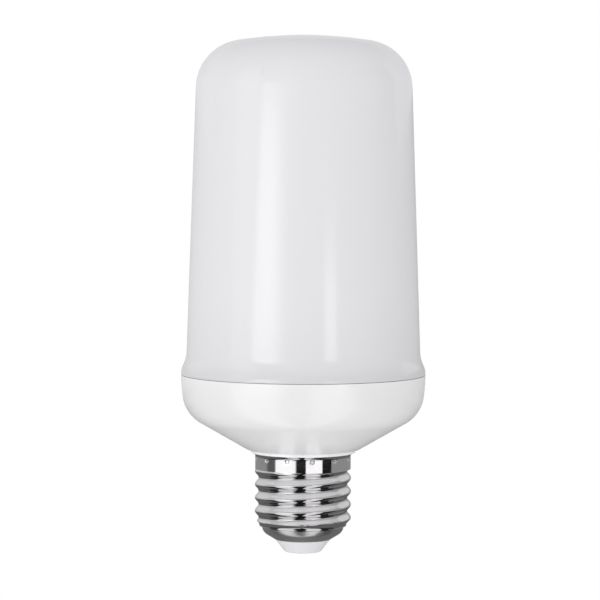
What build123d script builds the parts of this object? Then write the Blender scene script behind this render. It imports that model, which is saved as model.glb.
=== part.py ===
from build123d import *
import math
import os

# A flame effect LED lamp, in millimetres. It stands cap down on its centre contact, at the origin,
# with its axis along Z. The front is towards -Y.

# Cap: contact and insulator
contact_proud = 0.25
contact_head_radius = 2.75
contact_shank_radius = 1.0
contact_tip = 0.15
nose_height = 3.5
nose_face_radius = 4.35
nose_edge_radius = 0.7
flange_height = 1.5

# Cap: rolled shell, with the 27 mm lamp thread of 7 turns to the inch and a plain skirt above it
shell_sheet = 0.28
shell_rim_radius = 7.7
bowl_slope = 32.0
bowl_corner_radius = 2.5
bowl_radius = 11.1
bowl_step_height = 1.2
thread_pitch = 3.629
thread_crest_radius = 13.08
thread_root_radius = 12.05
thread_flank_slope = 50.0
thread_first_crest = 9.4
thread_length = 14.2
thread_lead_in = 45.0
skirt_radius = 12.97
skirt_step = 0.45
skirt_length = 3.1
lip_radius = 13.7
lip_height = 1.1

# Housing: collar, cone, cup and neck
collar_radius = 14.15
collar_height = 0.65
cone_foot_radius = 15.4
cone_angle = 30.1
cup_corner_radius = 9.4
cup_side_radius = 44.0
cup_side_turn = 8.4
rim_radius = 33.09
rim_edge = 0.25
housing_wall = 1.6
neck_wall = 1.7
neck_end_gap = 0.3
guide_rib_width = 1.2
guide_rib_reach = 2.3
guide_stop_height = 1.4

# Diffuser: lip over the rim, drafted wall, shoulder and crown
seam_gap = 0.12
diffuser_wall = 1.5
lip_turn = 25.5
lip_bulge_radius = 5.8
lip_hollow_radius = 9.3
wall_draft = 1.95
wall_height = 77.6
shoulder_radius = 13.0
crown_rise = 9.0
spigot_length = 4.3
spigot_wall = 1.1

# Light source: former, flexible board and its diodes
column_count = 12
row_count = 8
row_pitch = 8.8
former_inset = 13.49
former_wall = 1.5
former_margin = 5.2
foot_thickness = 1.6
foot_flare = 4.0
ear_radius = 3.4
flex_thickness = 0.3
flex_slit = 1.2
flex_edge = 1.5
tail_width = 6.0
diode_width = 2.8
diode_height = 3.5
diode_thickness = 0.7
connector_width = 9.0
connector_depth = 2.4
connector_height = 2.0
connector_floor = 0.5

# Boards and what they carry
control_board_thickness = 1.2
control_board_margin = 0.8
screw_inset = 7.49
screw_shank_radius = 1.0
screw_length = 7.0
screw_head_radius = 1.9
screw_head_height = 1.4
boss_wall = 1.7
boss_sides = 6
driver_board_thickness = 1.6
driver_wing_half_width = 16.5
driver_wing_height = 8.0
driver_corner_radius = 1.5
header_pin_count = 4
header_pitch = 2.54
header_depth = 2.5
header_height = 2.5
header_pin_side = 0.64
header_pin_proud = 1.0
input_capacitor_radius = 4.0
input_capacitor_length = 13.0
input_capacitor_lift = 1.6
output_capacitor_radius = 4.0
output_capacitor_length = 9.5
output_capacitor_x = -9.5
core_width = 13.0
core_depth = 6.0
core_yoke = 1.9
core_leg = 3.6
core_drop = 1.2
core_lift = 0.7
winding_build = 2.4
winding_corner = 1.2
rectifier_width = 4.7
rectifier_height = 3.9
rectifier_depth = 2.5
rectifier_x = -3.0
rectifier_lift = 9.0
driver_chip_width = 4.9
driver_chip_height = 3.9
driver_chip_depth = 1.6
driver_chip_x = 6.0
driver_chip_rise = 3.9
fuse_radius = 1.6
fuse_length = 9.0
fuse_x = 5.6
fuse_lift = 2.8
control_chip_length = 9.9
control_chip_width = 3.9
control_chip_thickness = 1.6
control_chip_y = 5.0
sensor_side = 6.0
sensor_height = 4.0
sensor_edge = 0.8

# Leads
lead_radius = 0.45
neutral_angle = -50.0
neutral_board_x = 3.0
neutral_board_height = 2.2

# Clearances
seat_gap = 0.05
slide_gap = 0.12
running_gap = 0.5

# Levels up the axis, from the contact face at zero
bowl_lean = math.radians(bowl_slope)
bowl_turn = 90 - bowl_slope
shell_base_z = contact_proud + nose_height
bowl_tangent_radius = bowl_radius - bowl_corner_radius * (1 - math.sin(bowl_lean))
bowl_tangent_z = shell_base_z + (bowl_tangent_radius - shell_rim_radius) * math.tan(bowl_lean)
bowl_top_z = bowl_tangent_z + bowl_corner_radius * math.cos(bowl_lean)
thread_base_z = bowl_top_z + bowl_step_height
skirt_base_z = thread_base_z + thread_length
skirt_foot_z = skirt_base_z + skirt_step
skirt_top_z = skirt_foot_z + skirt_length
shell_top_z = skirt_top_z + lip_height
collar_base_z = shell_top_z + seat_gap
cone_foot_z = collar_base_z + collar_height

# The insulator's flange rests in the bowl, and the contact's shank comes through it
flange_base_z = shell_base_z + (shell_sheet + seat_gap) / math.cos(bowl_lean)
flange_radius = bowl_tangent_radius - shell_sheet
flange_edge_z = flange_base_z + (flange_radius - shell_rim_radius) * math.tan(bowl_lean)
flange_top_z = flange_edge_z + flange_height
contact_top_z = flange_top_z + contact_tip

# The housing's outline runs up from the foot of its cone, so the rim's level follows from its curves
cone_lean = math.radians(cone_angle)
side_lean = math.radians(cup_side_turn)
cup_corner_turn = 90 - cone_angle - cup_side_turn
cone_top_radius = (
    rim_radius
    - cup_side_radius * (1 - math.cos(side_lean))
    - cup_corner_radius * (math.cos(side_lean) - math.sin(cone_lean))
)
cone_top_z = cone_foot_z + (cone_top_radius - cone_foot_radius) * math.tan(cone_lean)
rim_z = (
    cone_top_z
    + cup_corner_radius * (math.cos(cone_lean) - math.sin(side_lean))
    + cup_side_radius * math.sin(side_lean)
)

# The diffuser stands over the rim, and its spigot holds the control board down on the bosses
lip_z = rim_z + seam_gap
shoulder_z = lip_z + wall_height
spigot_z = lip_z - spigot_length
spigot_seat_radius = rim_radius - housing_wall
spigot_radius = spigot_seat_radius - slide_gap
control_top_z = spigot_z - seat_gap
control_base_z = control_top_z - control_board_thickness
control_board_radius = spigot_seat_radius - control_board_margin
boss_top_z = control_base_z - seat_gap
boss_radius = screw_shank_radius + boss_wall
screw_circle_radius = spigot_seat_radius - screw_inset

# The former stands on the control board, with the flexible board and its diodes round it
draft = math.radians(wall_draft)
foot_z = control_top_z + seat_gap
foot_top_z = foot_z + foot_thickness
former_top_z = foot_z + 2 * former_margin + row_count * row_pitch
former_face = spigot_seat_radius - former_inset
column_angle = 360 / column_count
flex_base_z = foot_top_z + flex_edge
flex_top_z = former_top_z - flex_edge
flex_inner_face = former_face + seat_gap
flex_outer_face = flex_inner_face + flex_thickness
first_row_z = foot_z + former_margin + row_pitch / 2
connector_z = control_top_z + seat_gap

# The driver board stands in the neck's guides, on their stops
neck_outer_radius = thread_root_radius - shell_sheet - slide_gap
neck_inner_radius = neck_outer_radius - neck_wall
neck_base_z = thread_base_z + neck_end_gap
land_radius = skirt_radius - shell_sheet - slide_gap
driver_face = driver_board_thickness / 2
driver_base_z = neck_base_z + guide_stop_height + seat_gap
driver_top_z = boss_top_z - running_gap
driver_wing_z = driver_top_z - driver_wing_height
driver_neck_half_width = math.sqrt(neck_inner_radius**2 - driver_face**2) - running_gap
part_face = driver_face + seat_gap
guide_offset = driver_face + slide_gap + guide_rib_width / 2
room_floor_z = cone_foot_z + housing_wall
room_floor_radius = cone_foot_radius - housing_wall * math.tan(cone_lean / 2)


def facing_plane(angle, distance, height):
    """A plane square to a radius, this far from the axis, with its local y up and its normal outward."""
    turn = math.radians(angle)
    outward = Vector(math.cos(turn), math.sin(turn), 0)
    return Plane(
        origin=outward * distance + Vector(0, 0, height),
        x_dir=(-outward.Y, outward.X, 0),
        z_dir=outward,
    )


def cap_body(inset):
    """The cap's threaded form as a solid, drawn in by this much from the shell's outer face."""
    slope = math.radians(thread_flank_slope)
    crest = thread_crest_radius - inset
    root = thread_root_radius - inset
    foot = root - slide_gap
    depth = crest - root
    crest_half = thread_pitch / 4 - depth / 2 / math.tan(slope) - inset * math.tan(slope / 2)
    foot_half = crest_half + (crest - foot) / math.tan(slope)
    first_z = thread_first_crest - thread_pitch
    ridge_turns = math.ceil((shell_top_z - first_z) / thread_pitch)
    skirt = skirt_radius - inset
    rim_z_in = shell_base_z + inset / math.cos(bowl_lean)
    corner = bowl_corner_radius - inset
    tangent = (
        bowl_tangent_radius - inset * math.sin(bowl_lean),
        bowl_tangent_z + inset * math.cos(bowl_lean),
    )
    lead_out = crest - (bowl_radius - inset) + depth
    lead_rise = lead_out * math.tan(math.radians(thread_lead_in))
    with BuildPart() as body:
        with BuildLine() as helix:
            Helix(
                pitch=thread_pitch,
                height=thread_pitch * ridge_turns,
                radius=foot,
                center=(0, 0, first_z),
            )
        with BuildSketch(Plane.XZ):
            with BuildLine():
                Polyline(
                    (foot, first_z - foot_half),
                    (crest, first_z - crest_half),
                    (crest, first_z + crest_half),
                    (foot, first_z + foot_half),
                    close=True,
                )
            make_face()
        sweep(path=helix.wires()[0], is_frenet=True)
        with BuildSketch(Plane.XY):
            Circle(root)
        extrude(amount=shell_top_z + thread_pitch)
        # The bowl below and the skirt's foot above trim the ridge, so that it fades into both
        with BuildSketch(Plane.XZ):
            with BuildLine():
                slope_line = Line((shell_rim_radius, rim_z_in), tangent)
                bowl = JernArc(slope_line @ 1, slope_line % 1, corner, bowl_turn)
                Polyline(
                    bowl @ 1,
                    (bowl_radius - inset + lead_out, bowl_top_z + lead_rise),
                    (bowl_radius - inset + lead_out, skirt_foot_z),
                    (0, skirt_foot_z),
                    (0, rim_z_in),
                    slope_line @ 0,
                )
            make_face()
        revolve(axis=Axis.Z, mode=Mode.INTERSECT)
        with BuildSketch(Plane.XZ):
            with BuildLine():
                Polyline(
                    (0, skirt_base_z - skirt_step),
                    (root - skirt_step, skirt_base_z - skirt_step),
                    (root, skirt_base_z),
                    (skirt, skirt_foot_z),
                    (skirt, skirt_top_z),
                    (lip_radius - inset, shell_top_z),
                    (0, shell_top_z),
                    close=True,
                )
            make_face()
        revolve(axis=Axis.Z)
    return body.part


def cone_and_corner(inset, start_radius):
    """The line of the housing's cone and the arc of its corner, drawn in by this much."""
    start_rise = (start_radius - cone_foot_radius) * math.tan(cone_lean)
    cone = Line(
        (start_radius, cone_foot_z + inset / math.cos(cone_lean) + start_rise),
        (cone_top_radius - inset * math.sin(cone_lean), cone_top_z + inset * math.cos(cone_lean)),
    )
    corner = JernArc(cone @ 1, cone % 1, cup_corner_radius - inset, cup_corner_turn)
    return cone, corner


def screw_places():
    """The places of the former's two screws, one at the front and one at the back."""
    return GridLocations(1, 2 * screw_circle_radius, 1, 2)


def flat_sided(face_distance):
    """A polygon with one side square to each column's radius, this far from the axis."""
    return RegularPolygon(
        face_distance, column_count, major_radius=False, rotation=column_angle / 2
    )


os.makedirs("parts", exist_ok=True)

# Centre contact: a flat-headed nail pressed up into the insulator
with BuildPart() as centre_contact:
    with BuildSketch(Plane.XY):
        Circle(contact_head_radius)
    extrude(amount=contact_proud - seat_gap)
    with BuildSketch(Plane.XY):
        Circle(contact_shank_radius)
    extrude(amount=contact_top_z)
centre_contact.part.label = "centre_contact"
export_step(centre_contact.part, "parts/centre_contact.step")

# Insulator: the nose under the shell, and a flange that rests in the bowl
with BuildPart() as cap_insulator:
    with BuildSketch(Plane.XZ) as insulator_section:
        with BuildLine():
            Polyline(
                (0, contact_proud),
                (nose_face_radius, contact_proud),
                (shell_rim_radius - slide_gap, shell_base_z),
                (shell_rim_radius - slide_gap, flange_base_z),
                (flange_radius, flange_edge_z),
                (flange_radius, flange_top_z),
                (0, flange_top_z),
                close=True,
            )
        make_face()
        nose_corner = insulator_section.vertices().group_by(Axis.Y)[0].sort_by(Axis.X)[-1]
        fillet(nose_corner, nose_edge_radius)
    revolve(axis=Axis.Z)
    with BuildSketch(Plane.XY):
        Circle(contact_shank_radius + seat_gap)
    extrude(amount=flange_top_z, mode=Mode.SUBTRACT)
cap_insulator.part.label = "cap_insulator"
export_step(cap_insulator.part, "parts/cap_insulator.step")

# Shell: one thin rolled sheet, so its inside follows the thread too
shell_outside = cap_body(0)
shell_inside = cap_body(shell_sheet)
with BuildPart() as screw_shell:
    add(shell_outside)
    add(shell_inside, mode=Mode.SUBTRACT)
    with BuildSketch(Plane.XY):
        Circle(shell_rim_radius)
    extrude(amount=bowl_top_z, mode=Mode.SUBTRACT)
screw_shell.part.label = "screw_shell"
export_step(screw_shell.part, "parts/screw_shell.step")

# The room inside the housing, less the bosses, guides and stops that stand in it
with BuildPart() as housing_room:
    with BuildSketch(Plane.XZ):
        with BuildLine():
            room_cone, room_corner = cone_and_corner(housing_wall, room_floor_radius)
            Polyline(
                room_corner @ 1,
                (spigot_seat_radius, spigot_z - seat_gap),
                (spigot_seat_radius, rim_z),
                (0, rim_z),
                (0, neck_base_z),
                (neck_inner_radius, neck_base_z),
                (neck_inner_radius, room_floor_z),
                room_cone @ 0,
            )
        make_face()
    revolve(axis=Axis.Z)
    with BuildSketch(Plane.XY.offset(neck_base_z)):
        with screw_places():
            RegularPolygon(boss_radius, boss_sides)
    extrude(amount=boss_top_z - neck_base_z, mode=Mode.SUBTRACT)
    with BuildSketch(Plane.XY.offset(neck_base_z)):
        with GridLocations(2 * neck_inner_radius, 2 * guide_offset, 2, 2):
            Rectangle(2 * guide_rib_reach, guide_rib_width)
    extrude(amount=room_floor_z - neck_base_z, mode=Mode.SUBTRACT)
    with BuildSketch(Plane.XY.offset(neck_base_z)):
        with GridLocations(2 * neck_inner_radius, 0, 2, 1):
            Rectangle(2 * guide_rib_reach, 2 * guide_offset)
    extrude(amount=guide_stop_height, mode=Mode.SUBTRACT)

# Housing: cup, cone, collar and the neck that the shell is pushed over
screw_seat_z = foot_top_z + seat_gap
pilot_depth = screw_length - (screw_seat_z - boss_top_z) + running_gap
with BuildPart() as base_housing:
    with BuildSketch(Plane.XZ) as housing_section:
        with BuildLine():
            cup_cone, cup_corner = cone_and_corner(0, cone_foot_radius)
            cup_side = JernArc(cup_corner @ 1, cup_corner % 1, cup_side_radius, cup_side_turn)
            Polyline(
                cup_side @ 1,
                (0, rim_z),
                (0, neck_base_z),
                (neck_outer_radius, neck_base_z),
                (neck_outer_radius, skirt_foot_z + seat_gap),
                (land_radius, skirt_foot_z + seat_gap),
                (land_radius, skirt_top_z),
                (lip_radius - shell_sheet - slide_gap, shell_top_z),
                (lip_radius - shell_sheet - slide_gap, collar_base_z),
                (collar_radius, collar_base_z),
                (collar_radius, cone_foot_z),
                cup_cone @ 0,
            )
        make_face()
        rim_corner = housing_section.vertices().group_by(Axis.Y)[-1].sort_by(Axis.X)[-1]
        chamfer(rim_corner, rim_edge)
    revolve(axis=Axis.Z)
    add(housing_room.part, mode=Mode.SUBTRACT)
    with BuildSketch(Plane.XY.offset(boss_top_z)):
        with screw_places():
            Circle(screw_shank_radius + seat_gap)
    extrude(amount=-pilot_depth, mode=Mode.SUBTRACT)
base_housing.part.label = "base_housing"
export_step(base_housing.part, "parts/base_housing.step")

# Diffuser: one opal moulding whose spigot is pushed into the housing's rim
with BuildPart() as diffuser:
    with BuildSketch(Plane.XZ):
        with BuildLine():
            lip = JernArc((rim_radius, lip_z), (0, 1), lip_bulge_radius, lip_turn)
            lip_hollow = JernArc(lip @ 1, lip % 1, lip_hollow_radius, wall_draft - lip_turn)
            wall_foot = lip_hollow @ 1
            wall_top_radius = wall_foot.X - (shoulder_z - wall_foot.Y) * math.tan(draft)
            wall = Line(wall_foot, (wall_top_radius, shoulder_z))
            shoulder_turn = 90 - wall_draft - crown_rise
            shoulder = JernArc(wall @ 1, wall % 1, shoulder_radius, shoulder_turn)
            crown_radius = (shoulder @ 1).X / math.sin(math.radians(crown_rise))
            crown = JernArc(shoulder @ 1, shoulder % 1, crown_radius, crown_rise)
            inward = Vector(-math.cos(draft), -math.sin(draft)) * diffuser_wall
            spigot = Polyline(
                lip @ 0,
                (spigot_radius, lip_z),
                (spigot_radius, spigot_z),
                (spigot_radius - spigot_wall, spigot_z),
                (spigot_radius - spigot_wall, lip_z),
                wall_foot + inward,
                wall @ 1 + inward,
            )
            inner_shoulder = JernArc(
                spigot @ 1, wall % 1, shoulder_radius - diffuser_wall, shoulder_turn
            )
            inner_crown = JernArc(
                inner_shoulder @ 1, inner_shoulder % 1, crown_radius - diffuser_wall, crown_rise
            )
            Line(inner_crown @ 1, crown @ 1)
        make_face()
    revolve(axis=Axis.Z)
diffuser.part.label = "diffuser"
export_step(diffuser.part, "parts/diffuser.step")

# Former: a capped tube with one flat for each column of diodes, on a foot with screw ears
with BuildPart() as led_former:
    with BuildSketch(Plane.XY.offset(foot_z)):
        flat_sided(former_face)
    extrude(amount=former_top_z - foot_z)
    with BuildSketch(Plane.XY.offset(foot_z)):
        flat_sided(former_face + foot_flare)
        with screw_places():
            Circle(ear_radius)
    extrude(amount=foot_thickness)
    with BuildSketch(Plane.XY.offset(foot_z)):
        flat_sided(former_face - former_wall)
    extrude(amount=former_top_z - former_wall - foot_z, mode=Mode.SUBTRACT)
    with BuildSketch(Plane.XY.offset(foot_z)):
        with screw_places():
            Circle(screw_shank_radius + slide_gap)
        with Locations((former_face - 2 * former_wall, 0)):
            Rectangle(
                foot_flare + 3 * former_wall,
                connector_width + 2 * running_gap,
                align=(Align.MIN, Align.CENTER),
            )
    extrude(amount=connector_height + running_gap, mode=Mode.SUBTRACT)
led_former.part.label = "led_former"
export_step(led_former.part, "parts/led_former.step")

# Flexible board: wrapped round the former, open at one corner, with a tail down to its connector
slit_angle = 180 + column_angle / 2
tail_base_z = connector_z + connector_floor + seat_gap
with BuildPart() as flex_board:
    with BuildSketch(Plane.XY.offset(flex_base_z)):
        flat_sided(flex_outer_face)
    extrude(amount=flex_top_z - flex_base_z)
    with BuildSketch(Plane.XY.offset(flex_base_z)):
        flat_sided(flex_inner_face)
    extrude(amount=flex_top_z - flex_base_z, mode=Mode.SUBTRACT)
    with BuildSketch(facing_plane(slit_angle, former_face - former_wall, flex_base_z)):
        Rectangle(flex_slit, flex_top_z - flex_base_z, align=(Align.CENTER, Align.MIN))
    extrude(amount=former_wall + foot_flare, mode=Mode.SUBTRACT)
    with BuildSketch(facing_plane(0, flex_inner_face, tail_base_z)):
        Rectangle(tail_width, flex_base_z - tail_base_z, align=(Align.CENTER, Align.MIN))
    extrude(amount=flex_thickness)
flex_board.part.label = "flex_board"
export_step(flex_board.part, "parts/flex_board.step")

# Diodes: one row of them round the former for each node
for row in range(row_count):
    with BuildPart() as led_row:
        row_z = first_row_z + row * row_pitch
        for column in range(column_count):
            face_plane = facing_plane(column * column_angle, flex_outer_face + seat_gap, row_z)
            with BuildSketch(face_plane):
                Rectangle(diode_width, diode_height)
            extrude(amount=diode_thickness)
    led_row.part.label = f"led_row_{row + 1}"
    export_step(led_row.part, f"parts/led_row_{row + 1}.step")

# Connector: a socket on the control board that takes the flexible board's tail
with BuildPart() as flex_connector:
    with BuildSketch(Plane.XY.offset(connector_z)):
        with Locations((flex_inner_face + flex_thickness / 2, 0)):
            Rectangle(connector_depth, connector_width)
    extrude(amount=connector_height)
    with BuildSketch(Plane.XY.offset(connector_z + connector_floor)):
        with Locations((flex_inner_face + flex_thickness / 2, 0)):
            Rectangle(flex_thickness + 2 * slide_gap, tail_width + 2 * slide_gap)
    extrude(amount=connector_height, mode=Mode.SUBTRACT)
flex_connector.part.label = "flex_connector"
export_step(flex_connector.part, "parts/flex_connector.step")

# Screws: through the former's ears and the control board into the bosses
with BuildPart() as former_screws:
    with BuildSketch(Plane.XY.offset(screw_seat_z)):
        with screw_places():
            Circle(screw_head_radius)
    extrude(amount=screw_head_height)
    with BuildSketch(Plane.XY.offset(screw_seat_z)):
        with screw_places():
            Circle(screw_shank_radius)
    extrude(amount=-screw_length)
former_screws.part.label = "former_screws"
export_step(former_screws.part, "parts/former_screws.step")

# Header: right-angle block on the driver board, with pins up through the control board
header_width = header_pin_count * header_pitch
header_y = -part_face - header_depth / 2
with BuildPart() as pin_header:
    with BuildSketch(Plane.XY.offset(driver_top_z - header_height)):
        with Locations((0, header_y)):
            Rectangle(header_width, header_depth)
    extrude(amount=header_height)
    with BuildSketch(Plane.XY.offset(driver_top_z)):
        with Locations((0, header_y)):
            with GridLocations(header_pitch, 1, header_pin_count, 1):
                Rectangle(header_pin_side, header_pin_side)
    extrude(amount=control_top_z + header_pin_proud - driver_top_z)
pin_header.part.label = "pin_header"
export_step(pin_header.part, "parts/pin_header.step")

# Control board: a disc under the former
with BuildPart() as control_board:
    with BuildSketch(Plane.XY.offset(control_base_z)):
        Circle(control_board_radius)
        with screw_places():
            Circle(screw_shank_radius + slide_gap, mode=Mode.SUBTRACT)
        with Locations((0, header_y)):
            with GridLocations(header_pitch, 1, header_pin_count, 1):
                Rectangle(
                    header_pin_side + 2 * slide_gap,
                    header_pin_side + 2 * slide_gap,
                    mode=Mode.SUBTRACT,
                )
    extrude(amount=control_board_thickness)
control_board.part.label = "control_board"
export_step(control_board.part, "parts/control_board.step")

with BuildPart() as control_chip:
    with BuildSketch(Plane.XY.offset(control_top_z + seat_gap)):
        with Locations((0, control_chip_y)):
            Rectangle(control_chip_length, control_chip_width)
    extrude(amount=control_chip_thickness)
control_chip.part.label = "control_chip"
export_step(control_chip.part, "parts/control_chip.step")

sensor_y = header_y - header_depth / 2 - running_gap - sensor_side / 2
with BuildPart() as tilt_sensor:
    with BuildSketch(Plane.XY.offset(control_top_z + seat_gap)):
        with Locations((0, sensor_y)):
            Rectangle(sensor_side, sensor_side)
    extrude(amount=sensor_height)
    chamfer(tilt_sensor.edges().filter_by(Axis.Z), sensor_edge)
tilt_sensor.part.label = "tilt_sensor"
export_step(tilt_sensor.part, "parts/tilt_sensor.step")

# Driver board: narrow in the neck's guides and wide in the cup
with BuildPart() as driver_board:
    with BuildSketch(Plane.XZ) as driver_outline:
        with Locations((0, driver_base_z)):
            Rectangle(
                2 * driver_neck_half_width,
                driver_top_z - driver_base_z,
                align=(Align.CENTER, Align.MIN),
            )
        with Locations((0, driver_wing_z)):
            Rectangle(
                2 * driver_wing_half_width, driver_wing_height, align=(Align.CENTER, Align.MIN)
            )
        wing_corners = driver_outline.vertices().group_by(Axis.Y)[1].sort_by(Axis.X)[1:3]
        fillet(wing_corners, driver_corner_radius)
    extrude(amount=driver_face, both=True)
driver_board.part.label = "driver_board"
export_step(driver_board.part, "parts/driver_board.step")

# Capacitors: one stands in the neck behind the board, one in the cup in front of it
with BuildPart() as input_capacitor:
    with BuildSketch(Plane.XY.offset(driver_base_z + input_capacitor_lift)):
        with Locations((0, part_face + input_capacitor_radius)):
            Circle(input_capacitor_radius)
    extrude(amount=input_capacitor_length)
input_capacitor.part.label = "input_capacitor"
export_step(input_capacitor.part, "parts/input_capacitor.step")

with BuildPart() as output_capacitor:
    with BuildSketch(Plane.XY.offset(room_floor_z + running_gap)):
        with Locations((output_capacitor_x, -part_face - output_capacitor_radius)):
            Circle(output_capacitor_radius)
    extrude(amount=output_capacitor_length)
output_capacitor.part.label = "output_capacitor"
export_step(output_capacitor.part, "parts/output_capacitor.step")

# Transformer: a ferrite core with two windows, and the winding round its middle leg
winding_depth = core_depth + 2 * slide_gap + 2 * winding_build
core_y = part_face + winding_depth / 2
core_height = driver_top_z - core_drop - room_floor_z - core_lift
core_z = room_floor_z + core_lift + core_height / 2
window_width = core_width / 2 - core_leg
window_height = core_height - 2 * core_yoke
with BuildPart() as transformer_core:
    with BuildSketch(Plane.XZ.offset(-core_y)):
        with Locations((0, core_z)):
            Rectangle(core_width, core_height)
            with GridLocations(core_leg + window_width, 1, 2, 1):
                Rectangle(window_width, window_height, mode=Mode.SUBTRACT)
    extrude(amount=core_depth / 2, both=True)
transformer_core.part.label = "transformer_core"
export_step(transformer_core.part, "parts/transformer_core.step")

with BuildPart() as transformer_coil:
    with BuildSketch(Plane.XY.offset(core_z - window_height / 2 + seat_gap)):
        with Locations((0, core_y)):
            Rectangle(core_leg + 2 * slide_gap + 2 * winding_build, winding_depth)
    extrude(amount=window_height - 2 * seat_gap)
    chamfer(transformer_coil.edges().filter_by(Axis.Z), winding_corner)
    with BuildSketch(Plane.XY.offset(core_z - window_height / 2)):
        with Locations((0, core_y)):
            Rectangle(core_leg + 2 * slide_gap, core_depth + 2 * slide_gap)
    extrude(amount=window_height, mode=Mode.SUBTRACT)
transformer_coil.part.label = "transformer_coil"
export_step(transformer_coil.part, "parts/transformer_coil.step")

# Small parts on the front face of the driver board
with BuildPart() as bridge_rectifier:
    with BuildSketch(Plane.XZ.offset(part_face)):
        with Locations((rectifier_x, driver_base_z + rectifier_lift)):
            Rectangle(rectifier_width, rectifier_height)
    extrude(amount=rectifier_depth)
bridge_rectifier.part.label = "bridge_rectifier"
export_step(bridge_rectifier.part, "parts/bridge_rectifier.step")

with BuildPart() as driver_chip:
    with BuildSketch(Plane.XZ.offset(part_face)):
        with Locations((driver_chip_x, room_floor_z + driver_chip_rise)):
            Rectangle(driver_chip_width, driver_chip_height)
    extrude(amount=driver_chip_depth)
driver_chip.part.label = "driver_chip"
export_step(driver_chip.part, "parts/driver_chip.step")

with BuildPart() as fuse_resistor:
    with BuildSketch(Plane.XY.offset(driver_base_z + fuse_lift)):
        with Locations((fuse_x, -part_face - fuse_radius)):
            Circle(fuse_radius)
    extrude(amount=fuse_length)
fuse_resistor.part.label = "fuse_resistor"
export_step(fuse_resistor.part, "parts/fuse_resistor.step")

# Live lead: straight up from the centre contact to the edge of the driver board
live_base_z = contact_top_z + seat_gap
with BuildPart() as live_lead:
    with BuildSketch(Plane.XY.offset(live_base_z)):
        Circle(lead_radius)
    extrude(amount=driver_base_z - seat_gap - live_base_z)
live_lead.part.label = "live_lead"
export_step(live_lead.part, "parts/live_lead.step")

# Neutral lead: from inside the shell's bowl, past the neck, to the front face of the driver board
neutral_turn = math.radians(neutral_angle)
neutral_foot_radius = bowl_radius - shell_sheet - lead_radius
neutral_foot = Vector(
    neutral_foot_radius * math.cos(neutral_turn),
    neutral_foot_radius * math.sin(neutral_turn),
    flange_top_z + seat_gap + lead_radius,
)
neutral_top = Vector(
    neutral_board_x, -part_face - lead_radius, driver_base_z + neutral_board_height
)
neutral_run = neutral_top - neutral_foot
with BuildPart() as neutral_lead:
    with BuildSketch(Plane(origin=neutral_foot, z_dir=neutral_run)):
        Circle(lead_radius)
    extrude(amount=neutral_run.length)
neutral_lead.part.label = "neutral_lead"
export_step(neutral_lead.part, "parts/neutral_lead.step")
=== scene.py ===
"""Dresses the flame effect lamp and sets up its studio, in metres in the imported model's frame."""

import logging
import math
from dataclasses import dataclass, replace
from enum import Enum
from typing import Union

import bpy
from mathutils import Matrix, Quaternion, Vector


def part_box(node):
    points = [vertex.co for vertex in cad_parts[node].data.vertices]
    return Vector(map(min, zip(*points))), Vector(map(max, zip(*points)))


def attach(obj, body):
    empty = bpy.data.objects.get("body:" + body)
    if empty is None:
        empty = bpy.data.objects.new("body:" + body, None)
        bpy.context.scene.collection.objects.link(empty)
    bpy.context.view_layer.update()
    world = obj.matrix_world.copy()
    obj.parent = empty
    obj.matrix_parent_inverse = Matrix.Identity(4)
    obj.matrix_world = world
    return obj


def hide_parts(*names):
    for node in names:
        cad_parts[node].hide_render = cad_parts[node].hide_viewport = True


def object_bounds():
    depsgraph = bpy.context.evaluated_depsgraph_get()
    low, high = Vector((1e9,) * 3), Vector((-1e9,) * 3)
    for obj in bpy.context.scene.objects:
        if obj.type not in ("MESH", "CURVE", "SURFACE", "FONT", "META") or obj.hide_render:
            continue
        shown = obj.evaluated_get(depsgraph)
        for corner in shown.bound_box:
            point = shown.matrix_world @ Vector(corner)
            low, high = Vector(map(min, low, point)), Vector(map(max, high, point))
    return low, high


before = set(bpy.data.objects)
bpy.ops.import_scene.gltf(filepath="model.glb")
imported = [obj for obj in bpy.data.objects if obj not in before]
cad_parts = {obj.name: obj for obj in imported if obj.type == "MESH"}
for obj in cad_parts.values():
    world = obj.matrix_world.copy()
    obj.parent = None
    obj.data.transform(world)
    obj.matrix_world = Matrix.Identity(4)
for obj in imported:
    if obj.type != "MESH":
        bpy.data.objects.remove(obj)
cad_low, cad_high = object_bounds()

log = logging.getLogger("flame_lamp")

BODY = "root"
MM = 0.001
FULL_TURN = 2 * math.pi
QUARTER_TURN = math.pi / 2
BOWL_SLOPE = math.radians(32.0)
WHITE = (1.0, 1.0, 1.0)

Colour = tuple[float, float, float]
Triple = tuple[float, float, float]
Point = tuple[float, float]
Span = tuple[float, float]


# Shader nodes

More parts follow.
